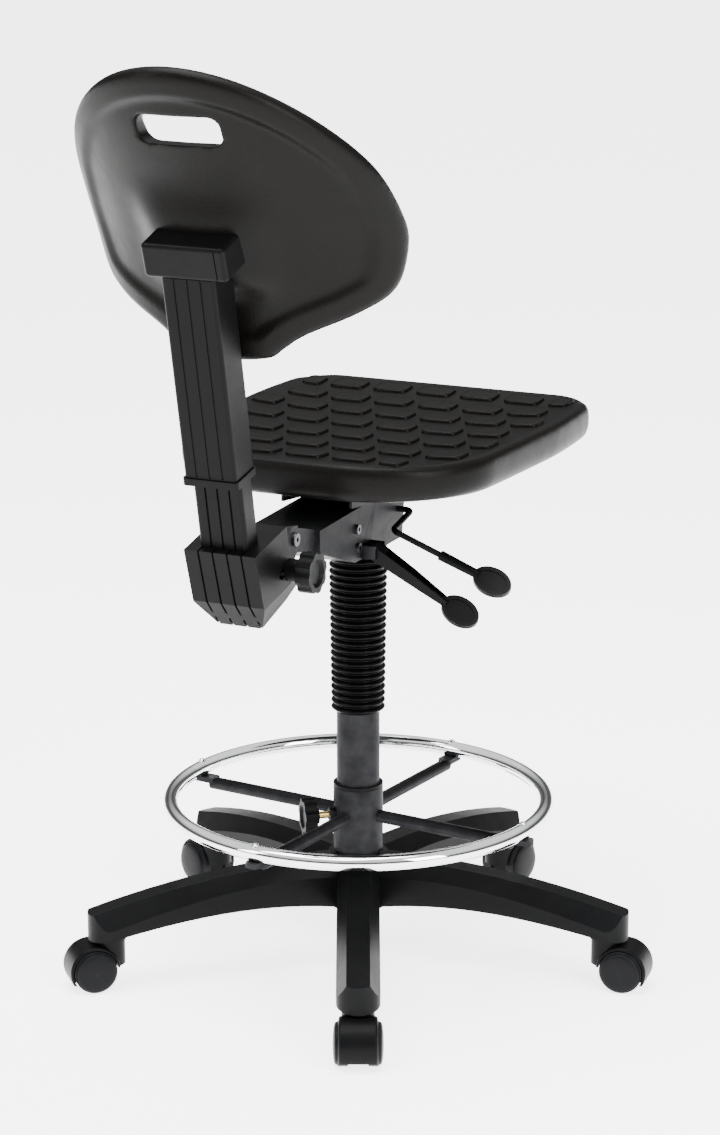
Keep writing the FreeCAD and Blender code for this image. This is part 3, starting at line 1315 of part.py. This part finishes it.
def check():
    for obj in doc.Objects:
        if "Invalid" in obj.State or "Error" in obj.State:
            raise RuntimeError("%s did not build: %s" % (obj.Name, obj.State))
    for obj in sub_parts:
        if obj.Shape.isNull() or not obj.Shape.isValid():
            raise RuntimeError("%s has no valid shape" % obj.Label)
        if not obj.Shape.Solids:
            raise RuntimeError("%s has no solid" % obj.Label)


def write():
    os.makedirs("parts", exist_ok=True)
    for obj in sub_parts:
        obj.Shape.exportStep("parts/%s.step" % obj.Label)
        print("%-24s solids %d  volume %.0f" % (obj.Label, len(obj.Shape.Solids), obj.Shape.Volume))
    print(len(sub_parts), "sub-parts")


build()
check()
write()
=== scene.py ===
"""Looks for the drafting chair: moulded pads, bellows, procedural materials, light and camera."""

import json
import math

import bmesh
import bpy
import numpy as np
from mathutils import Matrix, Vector


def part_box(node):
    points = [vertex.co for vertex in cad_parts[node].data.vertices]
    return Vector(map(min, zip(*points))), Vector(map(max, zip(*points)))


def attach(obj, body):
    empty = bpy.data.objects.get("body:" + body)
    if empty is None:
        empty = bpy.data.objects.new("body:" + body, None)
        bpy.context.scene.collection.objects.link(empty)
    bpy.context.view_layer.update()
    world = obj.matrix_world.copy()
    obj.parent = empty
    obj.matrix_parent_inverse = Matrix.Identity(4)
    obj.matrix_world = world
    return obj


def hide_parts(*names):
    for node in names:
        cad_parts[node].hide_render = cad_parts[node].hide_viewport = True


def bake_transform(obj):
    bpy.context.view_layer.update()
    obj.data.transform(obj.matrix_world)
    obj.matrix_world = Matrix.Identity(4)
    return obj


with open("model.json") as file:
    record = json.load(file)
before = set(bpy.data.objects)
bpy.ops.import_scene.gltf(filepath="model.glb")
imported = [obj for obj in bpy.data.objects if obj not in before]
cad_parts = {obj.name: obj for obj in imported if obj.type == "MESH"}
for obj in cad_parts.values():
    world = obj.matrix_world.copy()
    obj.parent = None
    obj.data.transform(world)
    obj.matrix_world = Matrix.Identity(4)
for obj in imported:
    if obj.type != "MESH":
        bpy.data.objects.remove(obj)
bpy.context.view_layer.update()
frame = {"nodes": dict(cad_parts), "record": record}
nodes = frame["nodes"]


# ---------------------------------------------------------------- material helpers

class Material:
    """A Principled material with its node tree at hand."""

    def __init__(self, name, roughness, metallic=0.0, specular=0.5):
        self.material = bpy.data.materials.new(name)
        self.material.use_nodes = True
        self.tree = self.material.node_tree
        self.shader = self.tree.nodes["Principled BSDF"]
        self.shader.inputs["Metallic"].default_value = metallic
        self.shader.inputs["Roughness"].default_value = roughness
        self.shader.inputs["Specular IOR Level"].default_value = specular
        self.place = self.tree.nodes.new("ShaderNodeTexCoord").outputs["Object"]

    def node(self, kind, **settings):
        made = self.tree.nodes.new(kind)
        for key, value in settings.items():
            setattr(made, key, value)
        return made

    def link(self, source, target):
        self.tree.links.new(source, target)

    def texture(self, kind, scale, stretch):
        """A texture over the object's own coordinates, scale in features per metre."""
        mapping = self.node("ShaderNodeMapping")
        mapping.inputs["Scale"].default_value = stretch
        self.link(self.place, mapping.inputs["Vector"])
        made = self.node(kind)
        made.inputs["Scale"].default_value = scale
        self.link(mapping.outputs["Vector"], made.inputs["Vector"])
        return made

    def noise(self, scale, detail=4.0, stretch=(1, 1, 1)):
        made = self.texture("ShaderNodeTexNoise", scale, stretch)
        made.inputs["Detail"].default_value = detail
        return made.outputs["Fac"]

    def cells(self, scale):
        return self.texture("ShaderNodeTexVoronoi", scale, (1, 1, 1)).outputs["Distance"]

    def ramp(self, source, stops):
        made = self.node("ShaderNodeValToRGB")
        ramp = made.color_ramp
        while len(ramp.elements) < len(stops):
            ramp.elements.new(0.5)
        for element, (position, colour) in zip(ramp.elements, stops):
            element.position = position
            element.color = (*colour, 1.0)
        self.link(source, made.inputs["Fac"])
        return made.outputs["Color"]

    def between(self, source, low, high):
        made = self.node("ShaderNodeMapRange")
        made.inputs["To Min"].default_value = low
        made.inputs["To Max"].default_value = high
        self.link(source, made.inputs["Value"])
        return made.outputs["Result"]

    def colour(self, source):
        self.link(source, self.shader.inputs["Base Color"])

    def roughness(self, source, low, high):
        self.link(self.between(source, low, high), self.shader.inputs["Roughness"])

    def bumps(self, *layers):
        """Stack (source, height in metres) bumps."""
        normal = None
        for source, height in layers:
            bump = self.node("ShaderNodeBump")
            bump.inputs["Distance"].default_value = height
            bump.inputs["Strength"].default_value = 1.0
            self.link(source, bump.inputs["Height"])
            if normal is not None:
                self.link(normal, bump.inputs["Normal"])
            normal = bump.outputs["Normal"]
        self.link(normal, self.shader.inputs["Normal"])

    def edge_wear(self, colour, worn, amount=0.5):
        """Lighter, rubbed edges, where the surface turns sharply."""
        geometry = self.node("ShaderNodeNewGeometry")
        edge = self.node("ShaderNodeMapRange")
        edge.inputs["From Min"].default_value = 0.52
        edge.inputs["From Max"].default_value = 0.60
        self.link(geometry.outputs["Pointiness"], edge.inputs["Value"])
        patchy = self.node("ShaderNodeMath", operation="MULTIPLY")
        self.link(edge.outputs["Result"], patchy.inputs[0])
        self.link(self.between(self.noise(60.0), 0.0, 2.0 * amount), patchy.inputs[1])
        mix = self.node("ShaderNodeMix", data_type="RGBA")
        self.link(patchy.outputs["Value"], mix.inputs["Factor"])
        self.link(colour, mix.inputs[6])
        mix.inputs[7].default_value = (*worn, 1.0)
        return mix.outputs[2]


def shade(tint, level):
    return tuple(channel * level for channel in tint)


def moulded(name, tint, roughness, grain=0.00008, pitch=700.0, specular=0.055, wear=0.3):
    """Moulded plastic: fine spark-eroded grain, faint flow marks and rubbed edges."""
    made = Material(name, roughness, specular=specular)
    broad = made.noise(9.0, 3.0)
    base = made.ramp(broad, [(0.3, shade(tint, 0.8)), (0.7, shade(tint, 1.2))])
    made.colour(made.edge_wear(base, shade(tint, 2.6), wear))
    made.roughness(made.noise(35.0, 6.0), roughness - 0.06, roughness + 0.08)
    made.bumps((made.noise(pitch, 2.0), grain), (made.noise(40.0, 2.0), grain * 3))
    return made.material


def skin(name, tint, roughness):
    """Self-skinned polyurethane: leathery pores and slow ripples."""
    made = Material(name, roughness, specular=0.060)
    broad = made.noise(6.0, 4.0)
    base = made.ramp(broad, [(0.32, shade(tint, 0.85)), (0.68, shade(tint, 1.18))])
    made.colour(made.edge_wear(base, shade(tint, 2.0), 0.25))
    made.roughness(made.noise(55.0, 5.0), roughness - 0.05, roughness + 0.08)
    made.bumps((made.cells(520.0), 0.00010), (made.noise(900.0, 2.0), 0.00006),
               (made.noise(24.0, 3.0), 0.00045))
    return made.material


def coated(name, tint, roughness):
    """Powder coat over steel: orange peel and a few rubbed edges."""
    made = Material(name, roughness, specular=0.035)
    base = made.ramp(made.noise(14.0, 3.0), [(0.3, shade(tint, 0.85)), (0.7, shade(tint, 1.15))])
    made.colour(made.edge_wear(base, (0.05, 0.05, 0.055), 0.3))
    made.roughness(made.noise(80.0, 4.0), roughness - 0.05, roughness + 0.07)
    made.bumps((made.noise(420.0, 2.0), 0.00009))
    return made.material


def metal(name, tint, roughness, streak=(1, 1, 1), scratch=0.00002):
    """Bare or plated metal with fine streaks and smudges."""
    made = Material(name, roughness, metallic=1.0)
    smudge = made.noise(18.0, 5.0)
    made.colour(made.ramp(smudge, [(0.3, shade(tint, 0.92)), (0.7, shade(tint, 1.04))]))
    made.roughness(made.noise(120.0, 6.0, streak), max(0.02, roughness - 0.03), roughness + 0.06)
    made.bumps((made.noise(300.0, 4.0, streak), scratch))
    return made.material


def plywood(name):
    """Dark-stained ply: stretched grain over thin veneers."""
    made = Material(name, 0.6)
    grain = made.noise(40.0, 6.0, (1.0, 0.12, 12.0))
    made.colour(made.ramp(grain, [(0.3, (0.020, 0.016, 0.013)), (0.7, (0.042, 0.033, 0.026))]))
    made.roughness(grain, 0.5, 0.7)
    made.bumps((grain, 0.0002))
    return made.material


LOOKS = {
    "self_skin": skin("pu_skin", (0.0027, 0.0024, 0.0022), 0.34),
    "black_nylon": moulded("black_nylon", (0.0023, 0.0024, 0.0026), 0.38),
    "cover_plastic": moulded("cover_plastic", (0.0019, 0.0019, 0.0020), 0.36),
    "wheel_plastic": moulded("wheel_plastic", (0.0050, 0.0051, 0.0057), 0.36, grain=0.00004, wear=0.5),
    "bellows_plastic": moulded("bellows_plastic", (0.0012, 0.0012, 0.0013), 0.22, grain=0.00002, wear=0.1),
    "grey_plastic": moulded("bush_plastic", (0.0030, 0.0030, 0.0033), 0.42),
    "black_steel": coated("black_powder_coat", (0.0014, 0.0015, 0.0016), 0.42),
    "dark_steel": metal("blackened_steel", (0.07, 0.07, 0.075), 0.36),
    "steel": metal("bright_steel", (0.58, 0.59, 0.61), 0.24, (1, 1, 8)),
    "chrome": metal("polished_chrome", (0.84, 0.85, 0.86), 0.05, scratch=0.000004),
    "brass": metal("yellow_passivate", (0.62, 0.44, 0.17), 0.26),
    "board_wood": plywood("stained_ply"),
}

for part in frame["record"]["subparts"]:
    mesh = nodes[part["node"]].data
    look = LOOKS[part["material_slot"]]
    if mesh.materials:
        for index in range(len(mesh.materials)):
            mesh.materials[index] = look
    else:
        mesh.materials.append(look)


# ---------------------------------------------------------------- mesh helpers

def add_mesh(name, vertices, faces, look):
    """A smooth-shaded mesh object."""
    mesh = bpy.data.meshes.new(name)
    mesh.from_pydata([tuple(vertex) for vertex in vertices], [], faces)
    mesh.update()
    made = bpy.data.objects.new(name, mesh)
    bpy.context.scene.collection.objects.link(made)
    mesh.materials.append(look)
    mesh.polygons.foreach_set("use_smooth", [True] * len(mesh.polygons))
    return made


def apply_modifiers(piece):
    graph = bpy.context.evaluated_depsgraph_get()
    baked = bpy.data.meshes.new_from_object(piece.evaluated_get(graph))
    piece.modifiers.clear()
    piece.data = baked
    baked.polygons.foreach_set("use_smooth", [True] * len(baked.polygons))
    return piece


def close_up(piece):
    """Weld seams and turn every face outwards."""
    work = bmesh.new()
    work.from_mesh(piece.data)
    bmesh.ops.remove_doubles(work, verts=work.verts, dist=0.00005)
    bmesh.ops.recalc_face_normals(work, faces=work.faces)
    work.to_mesh(piece.data)
    work.free()
    return piece


def grid_faces(rows, columns, wrap=False, start=0, flip=False):
    faces = []
    for row in range(rows - 1):
        for column in range(columns if wrap else columns - 1):
            beside = (column + 1) % columns
            a, b = start + row * columns + column, start + row * columns + beside
            c, d = b + columns, a + columns
            faces.append((a, d, c, b) if flip else (a, b, c, d))
    return faces


def smooth_step(value, low, high):
    share = np.clip((value - low) / (high - low), 0.0, 1.0)
    return share * share * (3 - 2 * share)


def distance_to(points, outline):
    """Distance from each 2-D point to a closed outline of 2-D points."""
    starts, ends = outline, np.roll(outline, -1, axis=0)
    best = np.full(len(points), 1e9)
    for start, end in zip(starts, ends):
        run = end - start
        along = np.clip(((points - start) @ run) / max(run @ run, 1e-12), 0, 1)
        gap = points - start - along[:, None] * run
        best = np.minimum(best, np.hypot(gap[:, 0], gap[:, 1]))
    return best


def round_edge(depth, radius, power=2.0):
    """Share of full thickness at a depth inside a rounded edge; more power, squarer shoulders."""
    inside = np.clip(depth / radius, 0, 1)
    return np.clip(1 - (1 - inside) ** power, 0, 1) ** (1 / power)


# ---------------------------------------------------------------- seat

seat_low, seat_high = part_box("seat_pad")
SEAT_WIDE = (seat_high.x - seat_low.x) / 2 - 0.012
SEAT_NARROW = SEAT_WIDE - 0.020
SEAT_CORNER_REAR, SEAT_CORNER_FRONT = 0.130, 0.050
SEAT_RIM, SEAT_FOOT = 0.014, 0.017
SEAT_DISH = 0.0075


def seat_half_width(along):
    """Half width of the seat's plan at each Y, with round corners and a widest point up front."""
    front, rear = seat_low.y, seat_high.y
    widest = front + 0.150
    flank = np.where(along > widest,
                     SEAT_WIDE + (SEAT_NARROW - SEAT_WIDE) * ((along - widest) / (rear - widest)) ** 1.25,
                     SEAT_WIDE - 0.010 * ((widest - along) / 0.150) ** 2)
    for edge, inward, corner in ((rear, 1, SEAT_CORNER_REAR), (front, -1, SEAT_CORNER_FRONT)):
        depth = np.clip((edge - along) * inward / corner, 0, 1)
        flank = flank - corner * (1 - np.sqrt(1 - (1 - depth) ** 2))
    return flank


def seat_top(across, along):
    """Height of the dished top before its rim is rounded."""
    middle = (seat_low.y + seat_high.y) / 2
    reach = (seat_high.y - seat_low.y) / 2
    edge = np.clip(np.maximum(abs(across) / SEAT_WIDE, abs(along - middle) / reach), 0, 1)
    return seat_high.z - SEAT_DISH * (1 - edge ** 3)


def make_seat():
    """Dished seat with a rounded rim, its underside flat where it rests on the plate."""
    rows, columns = 150, 130
    turn = np.linspace(0, math.pi, rows)
    along = seat_low.y + (seat_high.y - seat_low.y) * (1 - np.cos(turn)) / 2
    share = np.sin(np.linspace(-math.pi / 2, math.pi / 2, columns))
    half = seat_half_width(along)
    xs = half[:, None] * share[None, :]
    bow = 0.010 * (xs / SEAT_WIDE) ** 2 * smooth_step(along[:, None], 0.0, seat_high.y)
    ys = np.repeat(along[:, None], columns, axis=1) - bow
    flat = np.stack([xs.ravel(), ys.ravel()], 1)
    loop = [(r, columns - 1) for r in range(rows)] + [(rows - 1, c) for c in range(columns - 1, -1, -1)]
    loop += [(r, 0) for r in range(rows - 1, -1, -1)] + [(0, c) for c in range(columns)]
    outline = np.array([(xs[r, c], ys[r, c]) for r, c in loop])
    depth = distance_to(flat, outline).reshape(rows, columns)
    high = seat_top(xs, ys)
    low = np.full_like(high, seat_low.z)
    waist = seat_low.z + 0.55 * (high - seat_low.z)
    top = waist + (high - waist) * round_edge(depth, SEAT_RIM, 2.8)
    base = waist + (low - waist) * round_edge(depth, SEAT_FOOT, 2.5)
    vertices = np.concatenate([np.stack([xs, ys, top], 2).reshape(-1, 3),
                               np.stack([xs, ys, base], 2).reshape(-1, 3)])
    faces = grid_faces(rows, columns) + grid_faces(rows, columns, start=rows * columns, flip=True)
    seat = close_up(add_mesh("seat_cushion", vertices, faces, LOOKS["self_skin"]))
    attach(seat, "seat")
    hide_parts("seat_pad")
    return seat


TILE_LONG, TILE_DEEP, TILE_RISE = 0.044, 0.034, 0.0034
TILE_PITCH_X, TILE_PITCH_Y = 0.0565, 0.0600
TILE_ROWS, TILE_MARGIN, TILE_LEAST = 7, 0.016, 0.024
TILE_STEPS, TILE_SQUARE, TILE_SHOULDER = 40, 5.0, 0.016
# each ring's share of the tile's plan and of its rise, from its sunk foot to its middle
TILE_RINGS = ((1.0, -0.4), (0.985, 0.35), (0.95, 0.8), (0.90, 1.0), (0.55, 1.0), (0.0, 1.0))


def tile_patch(centre_x, centre_y, long_side, start):
    """One raised tile, its corners and shoulders rounded, lying on the dished top."""
    vertices = []
    for share, rise in TILE_RINGS:
        spread = 1.0 if share else 0.0
        inset = (1 - share) * TILE_SHOULDER
        for step in range(TILE_STEPS):
            angle = 2 * math.pi * step / TILE_STEPS
            cos, sin = math.cos(angle), math.sin(angle)
            reach = spread * (abs(cos) ** TILE_SQUARE + abs(sin) ** TILE_SQUARE) ** (-1 / TILE_SQUARE)
            x = centre_x + (long_side / 2 - inset) * cos * reach
            y = centre_y + (TILE_DEEP / 2 - inset) * sin * reach
            vertices.append((x, y, float(seat_top(x, y)) + TILE_RISE * rise))
    faces = grid_faces(len(TILE_RINGS), TILE_STEPS, wrap=True, start=start)
    return vertices, faces


def make_tiles():
    """Staggered rows of raised tiles over the seat's top."""
    vertices, faces = [], []
    first = (seat_low.y + seat_high.y) / 2 - TILE_PITCH_Y * (TILE_ROWS - 1) / 2
    for row in range(TILE_ROWS):
        centre_y = first + row * TILE_PITCH_Y
        ends = np.array([centre_y - TILE_DEEP / 2, centre_y + TILE_DEEP / 2])
        room = float(seat_half_width(ends).min()) - TILE_MARGIN
        offset = 0.0 if row % 2 == 0 else TILE_PITCH_X / 2
        for column in range(-4, 5):
            centre_x = column * TILE_PITCH_X + offset
            low = max(centre_x - TILE_LONG / 2, -room)
            high = min(centre_x + TILE_LONG / 2, room)
            if high - low < TILE_LEAST:
                continue
            patch, patch_faces = tile_patch((low + high) / 2, centre_y, high - low, len(vertices))
            vertices += patch
            faces += patch_faces
    tiles = close_up(add_mesh("seat_tiles", vertices, faces, LOOKS["self_skin"]))
    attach(tiles, "seat")


# ---------------------------------------------------------------- backrest

back_low, back_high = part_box("back_pad")
slot_box = next(o["box_m"] for o in frame["record"]["physics"]["openings"] if o["name"] == "handle_slot")
BACK_WRAP = 0.215
BACK_MIDDLE, BACK_SIDE = 0.034, 0.021
BACK_RIM, BACK_INSET = 0.030, 0.0060
cap_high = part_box("back_cap")[1]
BOSS_HALF_WIDTH, BOSS_HALF_HEIGHT, BOSS_RISE = 0.068, 0.050, 0.022
BOSS_Z = cap_high.z - 0.026


def back_rear(height):
    """Rear face of the backrest at its middle."""
    shares = (0.0, 0.17, 0.39, 0.575, 0.81, 1.0)
    setbacks = (0.0, 0.013, 0.040, 0.072, 0.113, 0.141)
    share = (height - back_low.z) / (back_high.z - back_low.z)
    fine = np.linspace(0, 1, 61)
    curve = np.interp(fine, shares, setbacks)
    for _ in range(12):
        curve[1:-1] = (curve[:-2] + 2 * curve[1:-1] + curve[2:]) / 4
    return back_high.y - 0.141 + np.interp(share, fine, curve)


def back_outline(count):
    """Front outline of the backrest: a broad oval that narrows to a rounded tongue."""
    top, bottom = back_high.z, back_low.z
    wide = (back_high.x - back_low.x) / 2
    waist = bottom + 0.49 * (top - bottom)
    crown = [(wide * math.sin(math.radians(a)), waist + (top - waist) * math.cos(math.radians(a)))
             for a in (0, 22.5, 45, 67.5, 90)]
    flank = [(wide * 0.982, waist - 0.042), (wide * 0.91, waist - 0.078), (wide * 0.745, bottom + 0.053),
             (wide * 0.47, bottom + 0.030), (0.063, bottom + 0.014), (0.047, bottom + 0.004), (0.0, bottom)]
    half = np.array(crown + flank)
    loop = np.concatenate([half, half[-2:0:-1] * np.array([-1, 1])])
    closed = np.concatenate([loop, loop[:1]])
    length = np.concatenate([[0], np.cumsum(np.hypot(*np.diff(closed, axis=0).T))])
    return catmull(closed, length, count)


def catmull(closed, length, count):
    """Smooth closed curve through the points, evenly sampled."""
    points = closed[:-1]
    size = len(points)
    samples = []
    for target in np.linspace(0, length[-1], count, endpoint=False):
        index = min(np.searchsorted(length, target, side="right") - 1, size - 1)
        t = (target - length[index]) / (length[index + 1] - length[index])
        p0, p1, p2, p3 = (points[(index + step) % size] for step in (-1, 0, 1, 2))
        samples.append(0.5 * (2 * p1 + (p2 - p0) * t + (2 * p0 - 5 * p1 + 4 * p2 - p3) * t ** 2
                              + (3 * p1 - p0 - 3 * p2 + p3) * t ** 3))
    return np.array(samples)


def make_back():
    """Wrapped backrest: raised rim, set-in panel, rounded edges and a handle slot."""
    around, rings = 240, 60
    outline = back_outline(around)
    heart = np.array([0.0, back_low.z + 0.52 * (back_high.z - back_low.z)])
    share = np.sin(np.linspace(math.pi / 2, 0, rings))
    flat = heart + share[:, None, None] * (outline - heart)[None]
    xs, zs = flat[..., 0], flat[..., 1]
    depth = distance_to(flat.reshape(-1, 2), outline).reshape(xs.shape)
    rear = back_rear(zs) - (BACK_WRAP - np.sqrt(BACK_WRAP ** 2 - np.clip(xs, -0.2, 0.2) ** 2))
    lean = np.gradient(back_rear(np.linspace(back_low.z, back_high.z, 200)),
                       (back_high.z - back_low.z) / 199)
    slope = np.interp(zs, np.linspace(back_low.z, back_high.z, 200), lean)
    wrap = xs / np.sqrt(BACK_WRAP ** 2 - np.clip(xs, -0.2, 0.2) ** 2)
    normal = np.stack([wrap, np.ones_like(xs), -slope], 2)
    normal /= np.linalg.norm(normal, axis=2, keepdims=True)
    thick = BACK_SIDE + (BACK_MIDDLE - BACK_SIDE) * smooth_step(depth, 0.0, 0.10)
    full = round_edge(depth, 0.011)
    panel = BACK_INSET * smooth_step(depth, BACK_RIM - 0.008, BACK_RIM + 0.004)
    centre = np.stack([xs, rear, zs], 2) - normal * (thick / 2)[..., None]
    aside, above = abs(xs) / BOSS_HALF_WIDTH, (zs - BOSS_Z) / BOSS_HALF_HEIGHT
    swell = BOSS_RISE * np.exp(-(aside ** 4 + above ** 4))
    outer = centre + normal * (thick / 2 * full - panel + swell)[..., None]
    inner = centre - normal * (thick / 2 * full - 0.6 * panel)[..., None]
    vertices = np.concatenate([outer.reshape(-1, 3), inner.reshape(-1, 3)])
    faces = grid_faces(rings, around, wrap=True)
    faces += grid_faces(rings, around, wrap=True, start=rings * around, flip=True)
    back = close_up(add_mesh("back_cushion", vertices, faces, LOOKS["self_skin"]))
    cut_handle(back)
    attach(back, "backrest")
    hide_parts("back_pad")
    return back


def cut_handle(back):
    """Cut the handle slot with a rounded prism, then remesh so its rims are soft."""
    low, high = Vector(slot_box[0]), Vector(slot_box[1])
    half, tall, corner = 0.047, 0.0150, 0.011
    right, up = half - corner, tall - corner
    level = (low.z + high.z) / 2
    ring = []
    centres = ((right, up, 0), (-right, up, 90), (-right, -up, 180), (right, -up, 270))
    for centre_x, centre_z, start in centres:
        for step in range(9):
            angle = math.radians(start + 90 * step / 8)
            ring.append((centre_x + corner * math.cos(angle), level + centre_z + corner * math.sin(angle)))
    count = len(ring)
    vertices = [(x, low.y - 0.1, z) for x, z in ring] + [(x, high.y + 0.1, z) for x, z in ring]
    faces = [tuple(range(count)), tuple(range(2 * count - 1, count - 1, -1))]
    faces += [(i, i + count, (i + 1) % count + count, (i + 1) % count) for i in range(count)]
    cutter = close_up(add_mesh("handle_cutter", vertices, faces, LOOKS["self_skin"]))
    boolean = back.modifiers.new("slot", "BOOLEAN")
    boolean.object = cutter
    boolean.operation = "DIFFERENCE"
    boolean.solver = "EXACT"
    remesh = back.modifiers.new("even", "REMESH")
    remesh.mode = "VOXEL"
    remesh.voxel_size = 0.0024
    smooth = back.modifiers.new("soft", "SMOOTH")
    smooth.factor = 0.5
    smooth.iterations = 6
    apply_modifiers(back)
    if not back.data.materials:
        back.data.materials.append(LOOKS["self_skin"])
    bpy.data.objects.remove(cutter)


# ---------------------------------------------------------------- bellows

def make_bellows():
    """Pleated sleeve: rounded crests and grooves, the crests a little wider towards the top."""
    low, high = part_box("bellows")
    pleats, steps, around = 25, 10, 96
    rows = pleats * steps + 1
    vertices = []
    pleat_depth, bore = 0.0042, 0.0265
    crest_low, crest_high = 0.0313, 0.0343
    heights = np.linspace(low.z, high.z, rows)
    wave = (0.5 - 0.5 * np.cos(2 * math.pi * np.arange(rows) / steps)) ** 0.7
    crest = crest_low + (crest_high - crest_low) * np.linspace(0, 1, rows)
    radii = crest - pleat_depth * (1 - wave)
    profile = list(zip(radii, heights)) + [(bore, high.z), (bore, low.z), (radii[0], low.z)]
    for radius, height in profile:
        for step in range(around):
            angle = 2 * math.pi * step / around
            vertices.append((radius * math.cos(angle), radius * math.sin(angle), height))
    faces = grid_faces(len(profile), around, wrap=True)
    sleeve = close_up(add_mesh("bellows_sleeve", vertices, faces, LOOKS["bellows_plastic"]))
    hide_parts("bellows")
    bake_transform(sleeve)


make_seat()
make_tiles()
make_back()
make_bellows()


# ---------------------------------------------------------------- stage, light and camera

def make_floor():
    plane = bpy.data.meshes.new("floor")
    reach = 80.0
    plane.from_pydata([(-reach, -reach, 0), (reach, -reach, 0), (reach, reach, 0), (-reach, reach, 0)],
                      [], [(0, 1, 2, 3)])
    floor = bpy.data.objects.new("floor", plane)
    bpy.context.scene.collection.objects.link(floor)
    pale = Material("pale_floor", 0.85, specular=0.1)
    pale.shader.inputs["Emission Color"].default_value = (1.0, 1.0, 1.0, 1.0)
    pale.shader.inputs["Emission Strength"].default_value = 3.4
    pale.colour(pale.ramp(pale.noise(3.0, 3.0), [(0.3, (0.955, 0.955, 0.955)), (0.7, (0.97, 0.97, 0.97))]))
    plane.materials.append(pale.material)


def add_light(name, place, target, size, power):
    data = bpy.data.lights.new(name, "AREA")
    data.shape = "RECTANGLE"
    data.size, data.size_y = size
    data.energy = power
    lamp = bpy.data.objects.new(name, data)
    lamp.location = place
    lamp.rotation_euler = (Vector(target) - Vector(place)).to_track_quat("-Z", "Y").to_euler()
    bpy.context.scene.collection.objects.link(lamp)


def light_room():
    world = bpy.data.worlds.new("studio")
    world.use_nodes = True
    tree = world.node_tree
    background = tree.nodes["Background"]
    background.inputs["Strength"].default_value = 1.0
    split = tree.nodes.new("ShaderNodeSeparateXYZ")
    tree.links.new(tree.nodes.new("ShaderNodeTexCoord").outputs["Generated"], split.inputs["Vector"])
    sky = tree.nodes.new("ShaderNodeValToRGB")
    stops = ((0.0, 0.25), (0.28, 0.08), (0.55, 1.3))
    while len(sky.color_ramp.elements) < len(stops):
        sky.color_ramp.elements.new(0.5)
    for element, (position, level) in zip(sky.color_ramp.elements, stops):
        element.position = position
        element.color = (level, level, level, 1.0)
    tree.links.new(split.outputs["Z"], sky.inputs["Fac"])
    tree.links.new(sky.outputs["Color"], background.inputs["Color"])
    bpy.context.scene.world = world
    middle = (0.0, 0.0, 0.7)
    add_light("overhead", (0.2, 0.6, 3.2), middle, (2.4, 2.4), 210)
    add_light("side_right", (-3.0, 1.4, 1.9), middle, (1.2, 2.2), 130)
    add_light("side_left", (2.4, 2.8, 2.0), middle, (0.8, 2.0), 45)


def aim_camera():
    """Behind the chair and to its right, a little above the backrest, looking slightly down."""
    turn, fall = math.radians(24.5), math.radians(15.02)
    reach, height = 3.661, 1.457
    data = bpy.data.cameras.new("camera")
    data.sensor_fit = "VERTICAL"
    data.sensor_height = 36.0
    data.lens = 104.7
    data.shift_x = 0.0016
    camera = bpy.data.objects.new("camera", data)
    camera.location = (-math.sin(turn) * reach, math.cos(turn) * reach, height)
    view = Vector((math.sin(turn) * math.cos(fall), -math.cos(turn) * math.cos(fall), -math.sin(fall)))
    camera.rotation_euler = view.to_track_quat("-Z", "Y").to_euler()
    bpy.context.scene.collection.objects.link(camera)
    bpy.context.scene.camera = camera


make_floor()
light_room()
aim_camera()
